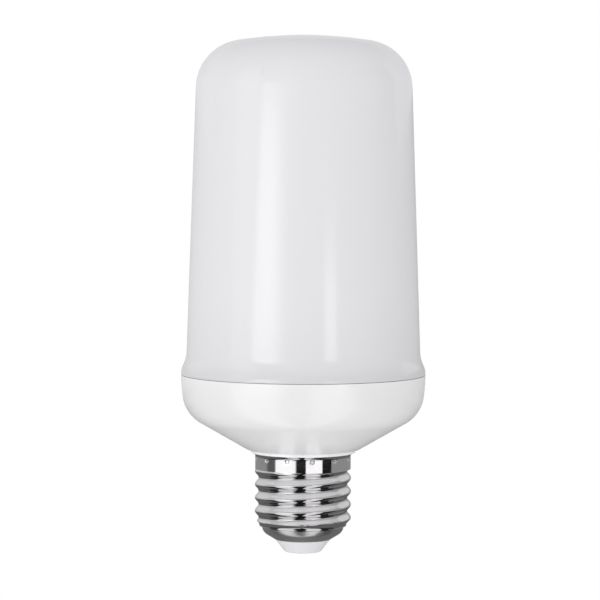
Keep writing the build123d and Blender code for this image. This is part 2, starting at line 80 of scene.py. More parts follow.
class Wire:
    """A node's output, so that shader maths is written as Python expressions."""

    def __init__(self, board: "Board", socket: bpy.types.NodeSocket) -> None:
        """Keeps the socket and the board that it is on.

        Args:
            board: The node board that new nodes are added to.
            socket: The output socket whose value this is.
        """
        self.board = board
        self.socket = socket

    def maths(self, operation: str, *operands: "Operand") -> "Wire":
        """Adds one Math node.

        Args:
            operation: The node's operation.
            operands: Its inputs in order.

        Returns:
            The node's output.
        """
        inputs = dict(enumerate(operands))
        return self.board.node("ShaderNodeMath", {"operation": operation}, inputs)

    def __add__(self, other: "Operand") -> "Wire":
        """Adds a value or a wire."""
        return self.maths("ADD", self, other)

    __radd__ = __add__

    def __sub__(self, other: "Operand") -> "Wire":
        """Takes a value or a wire away."""
        return self.maths("SUBTRACT", self, other)

    def __rsub__(self, other: "Operand") -> "Wire":
        """Takes this wire away from a value."""
        return self.maths("SUBTRACT", other, self)

    def __mul__(self, other: "Operand") -> "Wire":
        """Multiplies by a value or a wire."""
        return self.maths("MULTIPLY", self, other)

    __rmul__ = __mul__

    def __truediv__(self, other: "Operand") -> "Wire":
        """Divides by a value or a wire."""
        return self.maths("DIVIDE", self, other)

    def __pow__(self, other: "Operand") -> "Wire":
        """Raises to a power."""
        return self.maths("POWER", self, other)

    def __abs__(self) -> "Wire":
        """Gives the size without the sign."""
        return self.maths("ABSOLUTE", self)

    def fraction(self) -> "Wire":
        """Gives what is left above the whole number below."""
        return self.maths("FRACT", self)

    def sine(self) -> "Wire":
        """Gives the sine of an angle in radians."""
        return self.maths("SINE", self)

    def angle_over(self, other: "Wire") -> "Wire":
        """Gives the angle in radians whose tangent is this over the other, in all four quarters."""
        return self.maths("ARCTAN2", self, other)

    def lesser(self, other: "Operand") -> "Wire":
        """Gives the smaller of two."""
        return self.maths("MINIMUM", self, other)

    def greater(self, other: "Operand") -> "Wire":
        """Gives the larger of two."""
        return self.maths("MAXIMUM", self, other)

    def rise(self, start: float, end: float) -> "Wire":
        """Rises smoothly from 0 to 1.

        Args:
            start: Where the rise starts.
            end: Where it ends, which may lie below the start for a fall.

        Returns:
            A wire between 0 and 1.
        """
        settings = {"interpolation_type": "SMOOTHSTEP"}
        if start < end:
            return self.board.node("ShaderNodeMapRange", settings, {0: self, 1: start, 2: end})
        return 1 - self.board.node("ShaderNodeMapRange", settings, {0: self, 1: end, 2: start})

    def band(self, centre: float, half_width: float, softness: float) -> "Wire":
        """Marks a band about a value.

        Args:
            centre: The band's middle.
            half_width: Half of its width.
            softness: How far its edges spread.

        Returns:
            A wire that is 1 in the band and 0 outside it.
        """
        return abs(self - centre).rise(half_width + softness, half_width - softness)


Operand = Union[Wire, float]


class Board:
    """A node tree, to which every node is added by one method."""

    def __init__(self, tree: bpy.types.NodeTree) -> None:
        """Empties the tree.

        Args:
            tree: A material's or the world's nodes.
        """
        self.tree = tree
        self.tree.nodes.clear()

    def node(self, kind: str, settings: dict | None = None, inputs: dict | None = None,
             output: int | str = 0) -> Wire:
        """Adds a node, sets it, then feeds its sockets.

        Args:
            kind: The node's type.
            settings: Its own properties by name.
            inputs: Values or wires by the socket's name or number.
            output: The output that is wanted.

        Returns:
            That output.
        """
        made = self.tree.nodes.new(kind)
        for name, value in (settings or {}).items():
            setattr(made, name, value)
        for name, value in (inputs or {}).items():
            socket = made.inputs[name]
            if isinstance(value, Wire):
                self.tree.links.new(value.socket, socket)
            elif socket.type == "RGBA":
                socket.default_value = (*value, 1.0)
            else:
                socket.default_value = value
        return Wire(self, made.outputs[output] if made.outputs else None)

    def split(self, vector: Wire) -> list[Wire]:
        """Gives a vector's three parts."""
        parts = self.node("ShaderNodeSeparateXYZ", inputs={0: vector}).socket.node
        return [Wire(self, part) for part in parts.outputs]

    def place(self) -> Wire:
        """Gives the point on the piece, which is also its place in the frame."""
        return self.node("ShaderNodeTexCoord", output="Object")

    def axes(self) -> list[Wire]:
        """Gives the point's three coordinates in millimetres."""
        return [part / MM for part in self.split(self.place())]

    def turned(self) -> tuple[Wire, Wire, Wire]:
        """Gives the point's radius and height in millimetres, with its angle in radians between."""
        x, y, z = self.axes()
        return (x * x + y * y) ** 0.5, y.angle_over(x), z

    def noise(self, scale: float | Triple, detail: float = 3.0) -> Wire:
        """Adds fine noise.

        Args:
            scale: Waves for each millimetre, the same along every axis or one for each.
            detail: How many finer layers it has.

        Returns:
            A wire about 0.5.
        """
        along = scale if isinstance(scale, tuple) else (scale, scale, scale)
        point = self.node("ShaderNodeVectorMath", {"operation": "MULTIPLY"},
                          {0: self.place(), 1: tuple(waves / MM for waves in along)})
        inputs = {"Vector": point, "Scale": 1.0, "Detail": detail}
        return self.node("ShaderNodeTexNoise", inputs=inputs)

    def blend(self, factor: Operand, first: Colour | Wire, second: Colour | Wire) -> Wire:
        """Mixes two colours.

        Args:
            factor: How much of the second.
            first: A colour or a wire.
            second: A colour or a wire.

        Returns:
            The mixed colour.
        """
        inputs = {0: factor, 6: first, 7: second}
        return self.node("ShaderNodeMix", {"data_type": "RGBA"}, inputs, output=2)

    def relief(self, height: Operand, distance: float, strength: float = 1.0) -> Wire:
        """Turns a height into a normal.

        Args:
            height: The height, from 0 to 1.
            distance: What 1 stands for, in metres.
            strength: How much of it counts.

        Returns:
            A normal for a shader.
        """
        return self.node("ShaderNodeBump", inputs={
            "Height": height, "Distance": distance, "Strength": strength})

    def glow(self, strength: float) -> Wire:
        """Adds a white glow of a strength."""
        return self.node("ShaderNodeEmission", inputs={"Color": WHITE, "Strength": strength})

    def finish_with(self, shader: Wire) -> None:
        """Makes a shader the material's surface."""
        self.node("ShaderNodeOutputMaterial", inputs={"Surface": shader})


def new_material(name: str) -> tuple[bpy.types.Material, Board]:
    """Makes an empty material and its board."""
    material = bpy.data.materials.new(name)
    material.use_nodes = True
    return material, Board(material.node_tree)


def add_object(name: str, data: bpy.types.ID) -> bpy.types.Object:
    """Puts an object in the scene."""
    made = bpy.data.objects.new(name, data)
    bpy.context.scene.collection.objects.link(made)
    return made


# Finishes, whose lengths are in millimetres and noise scales in waves for each millimetre

@dataclass(frozen=True)
class Finish:
    """What every finish has. Alone it is plain moulded plastic with a fine grain."""

    name: str
    colour: Colour
    roughness: float = 0.5
    grain: float = 6.0
    grain_depth: float = 0.004 * MM
    mottle: float = 0.06
    mottle_scale: float = 0.35
    roughness_spread: float = 0.1

    def make(self) -> bpy.types.Material:
        """Builds the material."""
        material, board = new_material(self.name)
        material.diffuse_color = (*self.colour, 1.0)
        board.finish_with(board.node("ShaderNodeBsdfPrincipled", inputs=self.paint(board)))
        return material

    def darker(self, share: float) -> Colour:
        """Gives the finish's colour with a share of it taken off."""
        return tuple(part * (1 - share) for part in self.colour)

    def paint(self, board: Board) -> dict:
        """Lays the finish out.

        Args:
            board: The material's board.

        Returns:
            The shader's inputs by name.
        """
        cloud = board.noise(self.mottle_scale, detail=4.0)
        grain = board.noise(self.grain, detail=2.0)
        return {
            "Base Color": board.blend(cloud, self.darker(self.mottle), self.colour),
            "Roughness": self.roughness - self.roughness_spread / 2 + self.roughness_spread * cloud,
            "Normal": board.relief(grain, self.grain_depth),
        }


@dataclass(frozen=True)
class OpalPlastic(Finish):
    """Milky satin plastic with painted shade at its lip, its foot and its crown, faintly scuffed.
    """

    specular: float = 1.0
    # Painted shade: how far and how much the colour darkens near the seam, the lip and the crown.
    seam_height: float = 49.0
    seam_reach: float = 24.0
    seam_painted_shade: float = 0.05
    lip_reach: float = 4.0
    lip_painted_shade: float = 0.09
    crown_height: float = 140.0
    crown_reach: float = 16.0
    crown_painted_shade: float = 0.015
    cloud_scale: float = 0.12
    cloud_shade: float = 0.012
    cloud_roughness: float = 0.05
    hair_scale: Triple = (0.55, 0.55, 0.09)
    hair_span: Span = (0.66, 0.72)
    patch_scale: float = 0.05
    patch_span: Span = (0.5, 0.62)
    scuff_shade: float = 0.03
    scuff_roughness: float = 0.01
    shade_colour: Colour = (0.0, 0.0, 0.004)
    grain_strength: float = 0.6

    def paint(self, board: Board) -> dict:
        """Lays the opal plastic out.

        Args:
            board: The material's board.

        Returns:
            The shader's inputs by name.
        """
        _, _, height = board.axes()
        # Painted shade: the colour darkens towards the seam, the lip and the crown by height.
        seam_shade_ramp = height.rise(self.seam_height + self.seam_reach, self.seam_height)
        lip_shade_ramp = height.rise(self.seam_height + self.lip_reach, self.seam_height)
        crown_shade_ramp = height.rise(self.crown_height - self.crown_reach, self.crown_height)
        cloud = board.noise(self.cloud_scale)
        speckle = board.noise(self.grain, detail=2.0)
        hairs = board.noise(self.hair_scale, detail=5.0).rise(*self.hair_span)
        scuffs = hairs * board.noise(self.patch_scale, detail=1.0).rise(*self.patch_span)
        shade = (seam_shade_ramp * self.seam_painted_shade + lip_shade_ramp * self.lip_painted_shade
                 + crown_shade_ramp * self.crown_painted_shade + scuffs * self.scuff_shade
                 + cloud * self.cloud_shade)
        return {
            "Base Color": board.blend(shade, self.colour, self.shade_colour),
            "Roughness": (self.roughness + self.cloud_roughness * cloud
                          + self.scuff_roughness * scuffs),
            "Normal": board.relief(speckle, self.grain_depth, self.grain_strength),
            "Specular IOR Level": self.specular,
        }


@dataclass(frozen=True)
class GlossWhite(Finish):
    """Moulded white plastic with the faintest orange peel, and painted light that makes its foot
    paler.
    """

    specular: float = 0.8
    # Painted light: the housing's colour pales over this reach above the cone's foot.
    foot_height: float = 27.0
    foot_reach: float = 8.0
    foot_painted_light_colour: Colour = (0.955, 0.955, 0.97)
    cloud_scale: float = 0.15
    cloud_shade: float = 0.02
    cloud_roughness: float = 0.06
    speck_scale: float = 5.0
    speck_span: Span = (0.80, 0.86)
    speck_shade: float = 0.12
    speck_colour: Colour = (0.12, 0.11, 0.10)

    def paint(self, board: Board) -> dict:
        """Lays the gloss white out.

        Args:
            board: The material's board.

        Returns:
            The shader's inputs by name.
        """
        _, _, height = board.axes()
        cloud = board.noise(self.cloud_scale)
        peel = board.noise(self.grain, detail=1.0)
        specks = board.noise(self.speck_scale, detail=1.0).rise(*self.speck_span)
        tint = cloud * self.cloud_shade + specks * self.speck_shade
        # Painted light: the colour blends to a paler white towards the cone's foot.
        foot = height.rise(self.foot_height + self.foot_reach, self.foot_height)
        white = board.blend(foot, self.colour, self.foot_painted_light_colour)
        return {
            "Base Color": board.blend(tint, white, self.speck_colour),
            "Roughness": self.roughness + self.cloud_roughness * cloud,
            "Normal": board.relief(peel, self.grain_depth),
            "Specular IOR Level": self.specular,
        }


@dataclass(frozen=True)
class RolledNickel(Finish):
    """Bright nickel plate on rolled sheet: fine rolling lines, duller roots and bowl, painted shade
    at the crease.
    """

    root_radius: float = 12.05
    crest_radius: float = 13.08
    crest_depth: float = 0.4
    root_dulling: float = 0.10
    root_roughness: float = 0.04
    wall_span: Span = (11.2, 11.7)
    # Painted shade: a dark band in the colour at the crease where the thread meets the bowl.
    crease_height: float = 8.0
    crease_half: float = 0.12
    crease_edge: float = 0.14
    crease_painted_shade: float = 0.85
    bowl_span: Span = (0.1, -0.3)
    bowl_roughness: float = 0.26
    line_scale: Triple = (0.25, 0.25, 9.0)
    line_share: float = 0.7
    line_roughness: float = 0.02
    haze_scale: float = 0.5
    haze_dulling: float = 0.06
    haze_roughness: float = 0.03
    spot_scale: float = 2.4
    spot_span: Span = (0.64, 0.74)
    spot_dulling: float = 0.10
    spot_roughness: float = 0.06
    dulling_and_shade_colour: Colour = (0.2, 0.185, 0.17)

    def paint(self, board: Board) -> dict:
        """Lays the nickel out.

        Args:
            board: The material's board.

        Returns:
            The shader's inputs by name.
        """
        radius, _, height = board.turned()
        lines = board.noise(self.line_scale)
        haze = board.noise(self.haze_scale, detail=4.0)
        spots = board.noise(self.spot_scale).rise(*self.spot_span)
        root = (radius.rise(self.crest_radius - self.crest_depth, self.root_radius)
                * radius.rise(*self.wall_span))
        bowl = height.rise(*(self.crease_height + level for level in self.bowl_span))
        # Painted shade: the crease band darkens the colour almost to black.
        crease_shade_band = height.band(self.crease_height, self.crease_half, self.crease_edge)
        dulling_and_painted_shade = (root * self.root_dulling + haze * self.haze_dulling + spots * self.spot_dulling
                + crease_shade_band * self.crease_painted_shade).lesser(1.0)
        return {
            "Base Color": board.blend(dulling_and_painted_shade, self.colour, self.dulling_and_shade_colour),
            "Metallic": 1.0,
            "Roughness": (self.roughness + self.haze_roughness * haze
                          + self.line_roughness * lines + root * self.root_roughness
                          + spots * self.spot_roughness + bowl * self.bowl_roughness),
            "Normal": board.relief(lines * self.line_share + haze * (1 - self.line_share),
                                   self.grain_depth),
        }


@dataclass(frozen=True)
class BareMetal(Finish):
    """Plain bright metal: brass, tinned wire or zinc plate, by its colour."""

    streak_scale: Triple = (0.6, 0.6, 0.6)
    haze_scale: float = 1.2
    haze_roughness: float = 0.12
    tarnish_span: Span = (0.5, 0.75)
    tarnish_share: float = 0.5
    tarnish_shade: float = 0.35

    def paint(self, board: Board) -> dict:
        """Lays the metal out.

        Args:
            board: The material's board.

        Returns:
            The shader's inputs by name.
        """
        haze = board.noise(self.haze_scale, detail=4.0)
        streaks = board.noise(self.streak_scale)
        tarnish = haze.rise(*self.tarnish_span) * self.tarnish_share
        return {
            "Base Color": board.blend(tarnish, self.colour, self.darker(self.tarnish_shade)),
            "Metallic": 1.0,
            "Roughness": self.roughness + self.haze_roughness * haze,
            "Normal": board.relief(streaks, self.grain_depth),
        }


@dataclass(frozen=True)
class GlassyWhite(Finish):
    """Smooth white insulator with a fired skin and the odd grey pinhole."""

    cloud_scale: float = 0.4
    cloud_shade: float = 0.06
    cloud_roughness: float = 0.1
    pinhole_scale: float = 4.0
    pinhole_span: Span = (0.78, 0.84)
    pinhole_shade: float = 0.4
    pinhole_roughness: float = 0.3
    pinhole_colour: Colour = (0.3, 0.3, 0.3)

    def paint(self, board: Board) -> dict:
        """Lays the insulator out.

        Args:
            board: The material's board.

        Returns:
            The shader's inputs by name.
        """
        cloud = board.noise(self.cloud_scale, detail=4.0)
        pinholes = board.noise(self.pinhole_scale, detail=1.0).rise(*self.pinhole_span)
        shade = cloud * self.cloud_shade + pinholes * self.pinhole_shade
        return {
            "Base Color": board.blend(shade, self.colour, self.pinhole_colour),
            "Roughness": (self.roughness + self.cloud_roughness * cloud
                          + pinholes * self.pinhole_roughness),
            "Normal": board.relief(cloud, self.grain_depth),
        }


@dataclass(frozen=True)
class DiodeFace(Finish):
    """White cases in columns round the axis, each with an amber window of resin."""

    columns: int = 12
    first_row: float = 53.94
    row_pitch: float = 8.8
    radius: float = 19.1
    face_span: Span = (-0.15, -0.05)
    face_depth: float = 0.05 * MM
    case_scale: float = 3.0
    case_roughness: float = 0.05
    window: Point = (1.0, 1.25)
    window_edge: float = 0.06
    window_gloss: float = 0.3
    resin: Colour = (0.86, 0.42, 0.06)
    pad_offset: float = 1.65
    pad_half: float = 0.12
    pad_edge: float = 0.04
    pad_colour: Colour = (0.5, 0.49, 0.47)

    def paint(self, board: Board) -> dict:
        """Lays the diodes' faces out.

        Args:
            board: The material's board.

        Returns:
            The shader's inputs by name.
        """
        radius, angle, height = board.turned()
        step = FULL_TURN / self.columns
        across = ((angle / step + 0.5).fraction() - 0.5) * (step * self.radius)
        row = ((height - self.first_row) / self.row_pitch + 0.5).fraction() - 0.5
        along = row * self.row_pitch
        window = (across.band(0.0, self.window[0], self.window_edge)
                  * along.band(0.0, self.window[1], self.window_edge)
                  * radius.rise(*(self.radius + depth for depth in self.face_span)))
        pads = abs(along).band(self.pad_offset, self.pad_half, self.pad_edge)
        case = board.blend(pads, self.colour, self.pad_colour)
        cloud = board.noise(self.case_scale)
        return {
            "Base Color": board.blend(window, case, self.resin),
            "Roughness": (self.roughness - self.window_gloss * window
                          + self.case_roughness * cloud),
            "Normal": board.relief(1 - window, self.face_depth),
        }


@dataclass(frozen=True)
class PrintedBoard(Finish):
    """A circuit board's mask over faint tracks, on the weave of its laminate."""

    track: Colour = (0.09, 0.36, 0.16)
    track_pitch: float = 1.27
    track_half: float = 0.22
    track_edge: float = 0.04
    wander_scale: float = 0.12
    wander_reach: float = 9.0
    patch_scale: float = 0.22
    patch_span: Span = (0.46, 0.5)
    weave_rate: float = 9.0
    weave_share: float = 0.1
    relief_depth: float = 0.03 * MM
    cloud_scale: float = 1.2
    cloud_roughness: float = 0.06

    def paint(self, board: Board) -> dict:
        """Lays the board out.

        Args:
            board: The material's board.

        Returns:
            The shader's inputs by name.
        """
        x, y, height = board.axes()
        wander = board.noise(self.wander_scale, detail=1.0) * self.wander_reach
        lines = ((x + y + height + wander) / self.track_pitch).fraction().band(
            0.5, self.track_half, self.track_edge)
        tracks = lines * board.noise(self.patch_scale, detail=0.0).rise(*self.patch_span)
        weave = (x * self.weave_rate).sine() * ((y + height) * self.weave_rate).sine()
        cloud = board.noise(self.cloud_scale)
        return {
            "Base Color": board.blend(tracks, self.colour, self.track),
            "Roughness": self.roughness + self.cloud_roughness * cloud,
            "Normal": board.relief(tracks + weave * self.weave_share, self.relief_depth),
        }


@dataclass(frozen=True)
class FlexFilm(Finish):
    """White film with flat copper tracks that run down on both sides of each diode column."""

    columns: int = 12
    copper: Colour = (0.62, 0.5, 0.3)
    copper_share: float = 0.6
    copper_gloss: float = 0.1
    track_offset: float = 0.38
    track_half: float = 0.035
    track_edge: float = 0.006
    track_depth: float = 0.02 * MM
    cloud_scale: float = 2.0
    cloud_roughness: float = 0.05

    def paint(self, board: Board) -> dict:
        """Lays the film out.

        Args:
            board: The material's board.

        Returns:
            The shader's inputs by name.
        """
        _, angle, _ = board.turned()
        share = (angle / (FULL_TURN / self.columns) + 0.5).fraction()
        tracks = abs(share - 0.5).band(self.track_offset, self.track_half, self.track_edge)
        cloud = board.noise(self.cloud_scale)
        return {
            "Base Color": board.blend(tracks * self.copper_share, self.colour, self.copper),
            "Roughness": (self.roughness - self.copper_gloss * tracks
                          + self.cloud_roughness * cloud),
            "Normal": board.relief(tracks, self.track_depth),
        }


@dataclass(frozen=True)
class Sleeve(Finish):
    """A capacitor's shrink sleeve with a pale stripe, open over a scored metal top."""

    axis: Point = (0.0, 0.0)
    top: float = 0.0
    radius: float = 4.0
    stripe: Colour = (0.62, 0.64, 0.66)
    stripe_turn: float = 0.4
    stripe_half: float = 0.3
    stripe_edge: float = 0.02
    cap: Colour = (0.6, 0.6, 0.62)
    cap_level: Span = (-0.06, -0.02)
    cap_reach: Span = (-0.5, -0.7)
    score_span: Span = (0.16, 0.1)
    score_depth: float = 0.15 * MM
    cloud_scale: float = 2.0
    cloud_roughness: float = 0.05

    def paint(self, board: Board) -> dict:
        """Lays the sleeve out.

        Args:
            board: The material's board.

        Returns:
            The shader's inputs by name.
        """
        x, y, height = board.axes()
        east, north = x - self.axis[0], y - self.axis[1]
        stripe = north.angle_over(east).band(
            self.stripe_turn, self.stripe_half, self.stripe_edge)
        reach = (east * east + north * north) ** 0.5
        cap = (height.rise(*(self.top + level for level in self.cap_level))
               * reach.rise(*(self.radius + inset for inset in self.cap_reach)))
        score = abs(east).rise(*self.score_span).greater(abs(north).rise(*self.score_span)) * cap
        sleeve = board.blend(stripe, self.colour, self.stripe)
        cloud = board.noise(self.cloud_scale)
        return {
            "Base Color": board.blend(cap, sleeve, self.cap),
            "Metallic": cap,
            "Roughness": self.roughness + self.cloud_roughness * cloud,
            "Normal": board.relief(1 - score, self.score_depth),
        }


@dataclass(frozen=True)
class WoundTape(Finish):
    """Yellow tape in level turns, with a lap down one side."""

    turn_height: float = 1.8
    turn_half: float = 0.03
    turn_edge: float = 0.015
    lap_place: float = 1.2
    lap_half: float = 0.04
    lap_edge: float = 0.03
    edge_share: float = 0.4
    edge_shade: float = 0.5
    crinkle_scale: Triple = (0.4, 0.4, 2.4)
    crinkle_roughness: float = 0.1
    relief_depth: float = 0.03 * MM

    def paint(self, board: Board) -> dict:
        """Lays the tape out.

        Args:
            board: The material's board.

        Returns:
            The shader's inputs by name.
        """
        x, _, height = board.axes()
        turns = (height / self.turn_height).fraction()
        edge = turns.band(0.5, self.turn_half, self.turn_edge)
        lap = x.band(self.lap_place, self.lap_half, self.lap_edge)
        crinkle = board.noise(self.crinkle_scale)
        edges = edge.greater(lap) * self.edge_share
        return {
            "Base Color": board.blend(edges, self.colour, self.darker(self.edge_shade)),
            "Roughness": self.roughness + self.crinkle_roughness * crinkle,
            "Normal": board.relief(crinkle * 0.5 - edge * 0.5, self.relief_depth),
        }


@dataclass(frozen=True)
class BandedCoat(Finish):
    """A resistor's coat with four bands of colour round it."""

    foot: float = 0.0
    bands: tuple[Colour, ...] = (
        (0.35, 0.14, 0.05), (0.02, 0.02, 0.02), (0.02, 0.02, 0.02), (0.6, 0.45, 0.1))
    first_band: float = 2.0
    band_pitch: float = 1.6
    band_half: float = 0.4
    band_edge: float = 0.03
    coat_scale: float = 2.5
    coat_depth: float = 0.02 * MM
    cloud_scale: float = 1.5
    cloud_roughness: float = 0.08

    def paint(self, board: Board) -> dict:
        """Lays the coat out.

        Args:
            board: The material's board.

        Returns:
            The shader's inputs by name.
        """
        _, _, height = board.axes()
        coat: Colour | Wire = self.colour
        for place, colour in enumerate(self.bands):
            middle = self.foot + self.first_band + self.band_pitch * place
            coat = board.blend(height.band(middle, self.band_half, self.band_edge), coat, colour)
        cloud = board.noise(self.cloud_scale)
        return {
            "Base Color": coat,
            "Roughness": self.roughness + self.cloud_roughness * cloud,
            "Normal": board.relief(board.noise(self.coat_scale), self.coat_depth),
        }


@dataclass(frozen=True)
class PinBlock(Finish):
    """A header's black block below tinned pins."""

    block_top: float = 42.54
    pin_span: Span = (0.02, 0.06)
    pin_colour: Colour = (0.7, 0.7, 0.71)
    pin_gloss: float = 0.25
    cloud_scale: float = 1.5
    cloud_roughness: float = 0.05

    def paint(self, board: Board) -> dict:
        """Lays the header out.

        Args:
            board: The material's board.

        Returns:
            The shader's inputs by name.
        """
        _, _, height = board.axes()
        pins = height.rise(*(self.block_top + level for level in self.pin_span))
        cloud = board.noise(self.cloud_scale)
        return {
            "Base Color": board.blend(pins, self.colour, self.pin_colour),
            "Metallic": pins,
            "Roughness": (self.roughness - self.pin_gloss * pins
                          + self.cloud_roughness * cloud),
            "Normal": board.relief(cloud, self.grain_depth),
        }


# Outlines and meshes

class Turn(Enum):
    """Which way an outline's arc bends, seen with the axis on the left and up the page."""

    LEFT = 1
    RIGHT = -1


class Outline:
    """A section beside the lamp's axis, drawn as with a pen: radius across and height up."""

    ARC_STEP = math.radians(3.0)

    def __init__(self, radius: float, height: float) -> None:
        """Sets the pen down."""
        self.points: list[Point] = [(radius, height)]
        self.heading = 0.0

    @property
    def pen(self) -> Point:
        """Where the pen is."""
        return self.points[-1]

    def to(self, *stops: Point) -> "Outline":
        """Draws straight lines from point to point and heads along the last."""
        for radius, height in stops:
            here = self.pen
            self.heading = math.atan2(height - here[1], radius - here[0])
            self.points.append((radius, height))
        return self

    def aim(self, heading: float) -> "Outline":
        """Turns the pen to a heading in radians, where 0 is outward and a quarter turn is up."""
        self.heading = heading
        return self

    def arc(self, radius: float, turn: float, way: Turn) -> "Outline":
        """Draws an arc that starts along the heading.

        Args:
            radius: The arc's radius.
            turn: How far it turns, in radians.
            way: Which way it bends.

        Returns:
            The outline, so that calls chain.
        """
        start, here = self.heading, self.pen
        side = start + way.value * QUARTER_TURN
        centre = (here[0] + radius * math.cos(side), here[1] + radius * math.sin(side))
        steps = max(2, math.ceil(turn / self.ARC_STEP))
        for step in range(1, steps + 1):
            swung = side + math.pi + way.value * turn * step / steps
            self.points.append(
                (centre[0] + radius * math.cos(swung), centre[1] + radius * math.sin(swung)))
        self.heading = start + way.value * turn
        return self


class MeshMaker:
    """Collects points and faces for one piece."""

    ON_AXIS = 1e-7

    def __init__(self) -> None:
        """Starts with nothing."""
        self.points: list[Triple] = []
        self.faces: list[tuple[int, ...]] = []

    def ring(self, radii: list[float], height: float) -> list[int]:
        """Adds a level ring of points round the axis.

        Args:
            radii: The radius of each point, or one radius alone for a point on the axis.
            height: The ring's height.

        Returns:
            The points' numbers.
        """
        first = len(self.points)
        if len(radii) == 1:
            self.points.append((0.0, 0.0, height))
            return [first]
        for column, radius in enumerate(radii):
            angle = FULL_TURN * column / len(radii)
            self.points.append((radius * math.cos(angle), radius * math.sin(angle), height))
        return list(range(first, first + len(radii)))

    def bridge(self, lower: list[int], upper: list[int]) -> None:
        """Joins two rings with faces that look outward when the second is above the first."""
        count = max(len(lower), len(upper))
        for column in range(count):
            after = (column + 1) % count
            if len(lower) == 1:
                self.faces.append((lower[0], upper[after], upper[column]))
            elif len(upper) == 1:
                self.faces.append((lower[column], lower[after], upper[0]))
            else:
                self.faces.append((lower[column], lower[after], upper[after], upper[column]))

    def lathe(self, outline: Outline, columns: int) -> None:
        """Turns an outline round the axis, and closes it unless it starts and ends on the axis.

        Args:
            outline: The section, drawn upward on its outer side.
            columns: How many faces go round.
        """
        rings = []
        for radius, height in outline.points:
            count = 1 if radius < self.ON_AXIS else columns
            rings.append(self.ring([radius] * count, height))
        for lower, upper in zip(rings, rings[1:]):
            self.bridge(lower, upper)
        if len(rings[0]) > 1:
            self.bridge(rings[-1], rings[0])

    def prism(self, corners: list[Point], bottoms: list[float], top: float) -> None:
        """Adds an upright prism.

        Args:
            corners: Its plan, anticlockwise from above.
            bottoms: Its lower level at each corner.
            top: Its upper level.
        """
        first, count = len(self.points), len(corners)
        self.points += [(x, y, bottom) for (x, y), bottom in zip(corners, bottoms)]
        self.points += [(x, y, top) for x, y in corners]
        lower = list(range(first, first + count))
        upper = list(range(first + count, first + 2 * count))
        self.bridge(lower, upper)
        self.faces.append(tuple(reversed(lower)))
        self.faces.append(tuple(upper))

    def mesh(self, name: str, sharp: float) -> bpy.types.Mesh:
        """Makes the mesh, smooth apart from its sharp edges.

        Args:
            name: The mesh's name.
            sharp: The angle in degrees from which an edge is sharp.

        Returns:
            The mesh.
        """
        made = bpy.data.meshes.new(name)
        made.from_pydata(self.points, [], self.faces)
        made.shade_smooth()
        made.set_sharp_from_angle(angle=math.radians(sharp))
        made.validate()
        return made


def rectangle(x_low: float, x_high: float, y_low: float, y_high: float) -> list[Point]:
    """Gives a rectangle's corners, anticlockwise."""
    return [(x_low, y_low), (x_high, y_low), (x_high, y_high), (x_low, y_high)]


def show_piece(name: str, maker: MeshMaker, finish: Finish, node: str,
               sharp: float = 28.0) -> None:
    """Puts a piece in the scene in place of a node.

    Args:
        name: The piece's name.
        maker: Its points and faces.
        finish: Its finish.
        node: The node that it stands for.
        sharp: The angle in degrees from which an edge is sharp.
    """
    mesh = maker.mesh(name, sharp)
    mesh.materials.append(finish.make())
    piece = add_object(name, mesh)
    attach(piece, BODY)
    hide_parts(node)
    log.info("%s stands for %s with %d faces", name, node, len(mesh.polygons))


def dress_nodes(names: list[str], finish: Finish) -> None:
    """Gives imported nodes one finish.

    Args:
        names: The nodes' names.
        finish: Their finish.
    """
    material = finish.make()
    for name in names:
        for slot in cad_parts[name].material_slots:
            slot.material = material
        log.info("%s is finished in %s", name, finish.name)


# The lamp's sub-assemblies

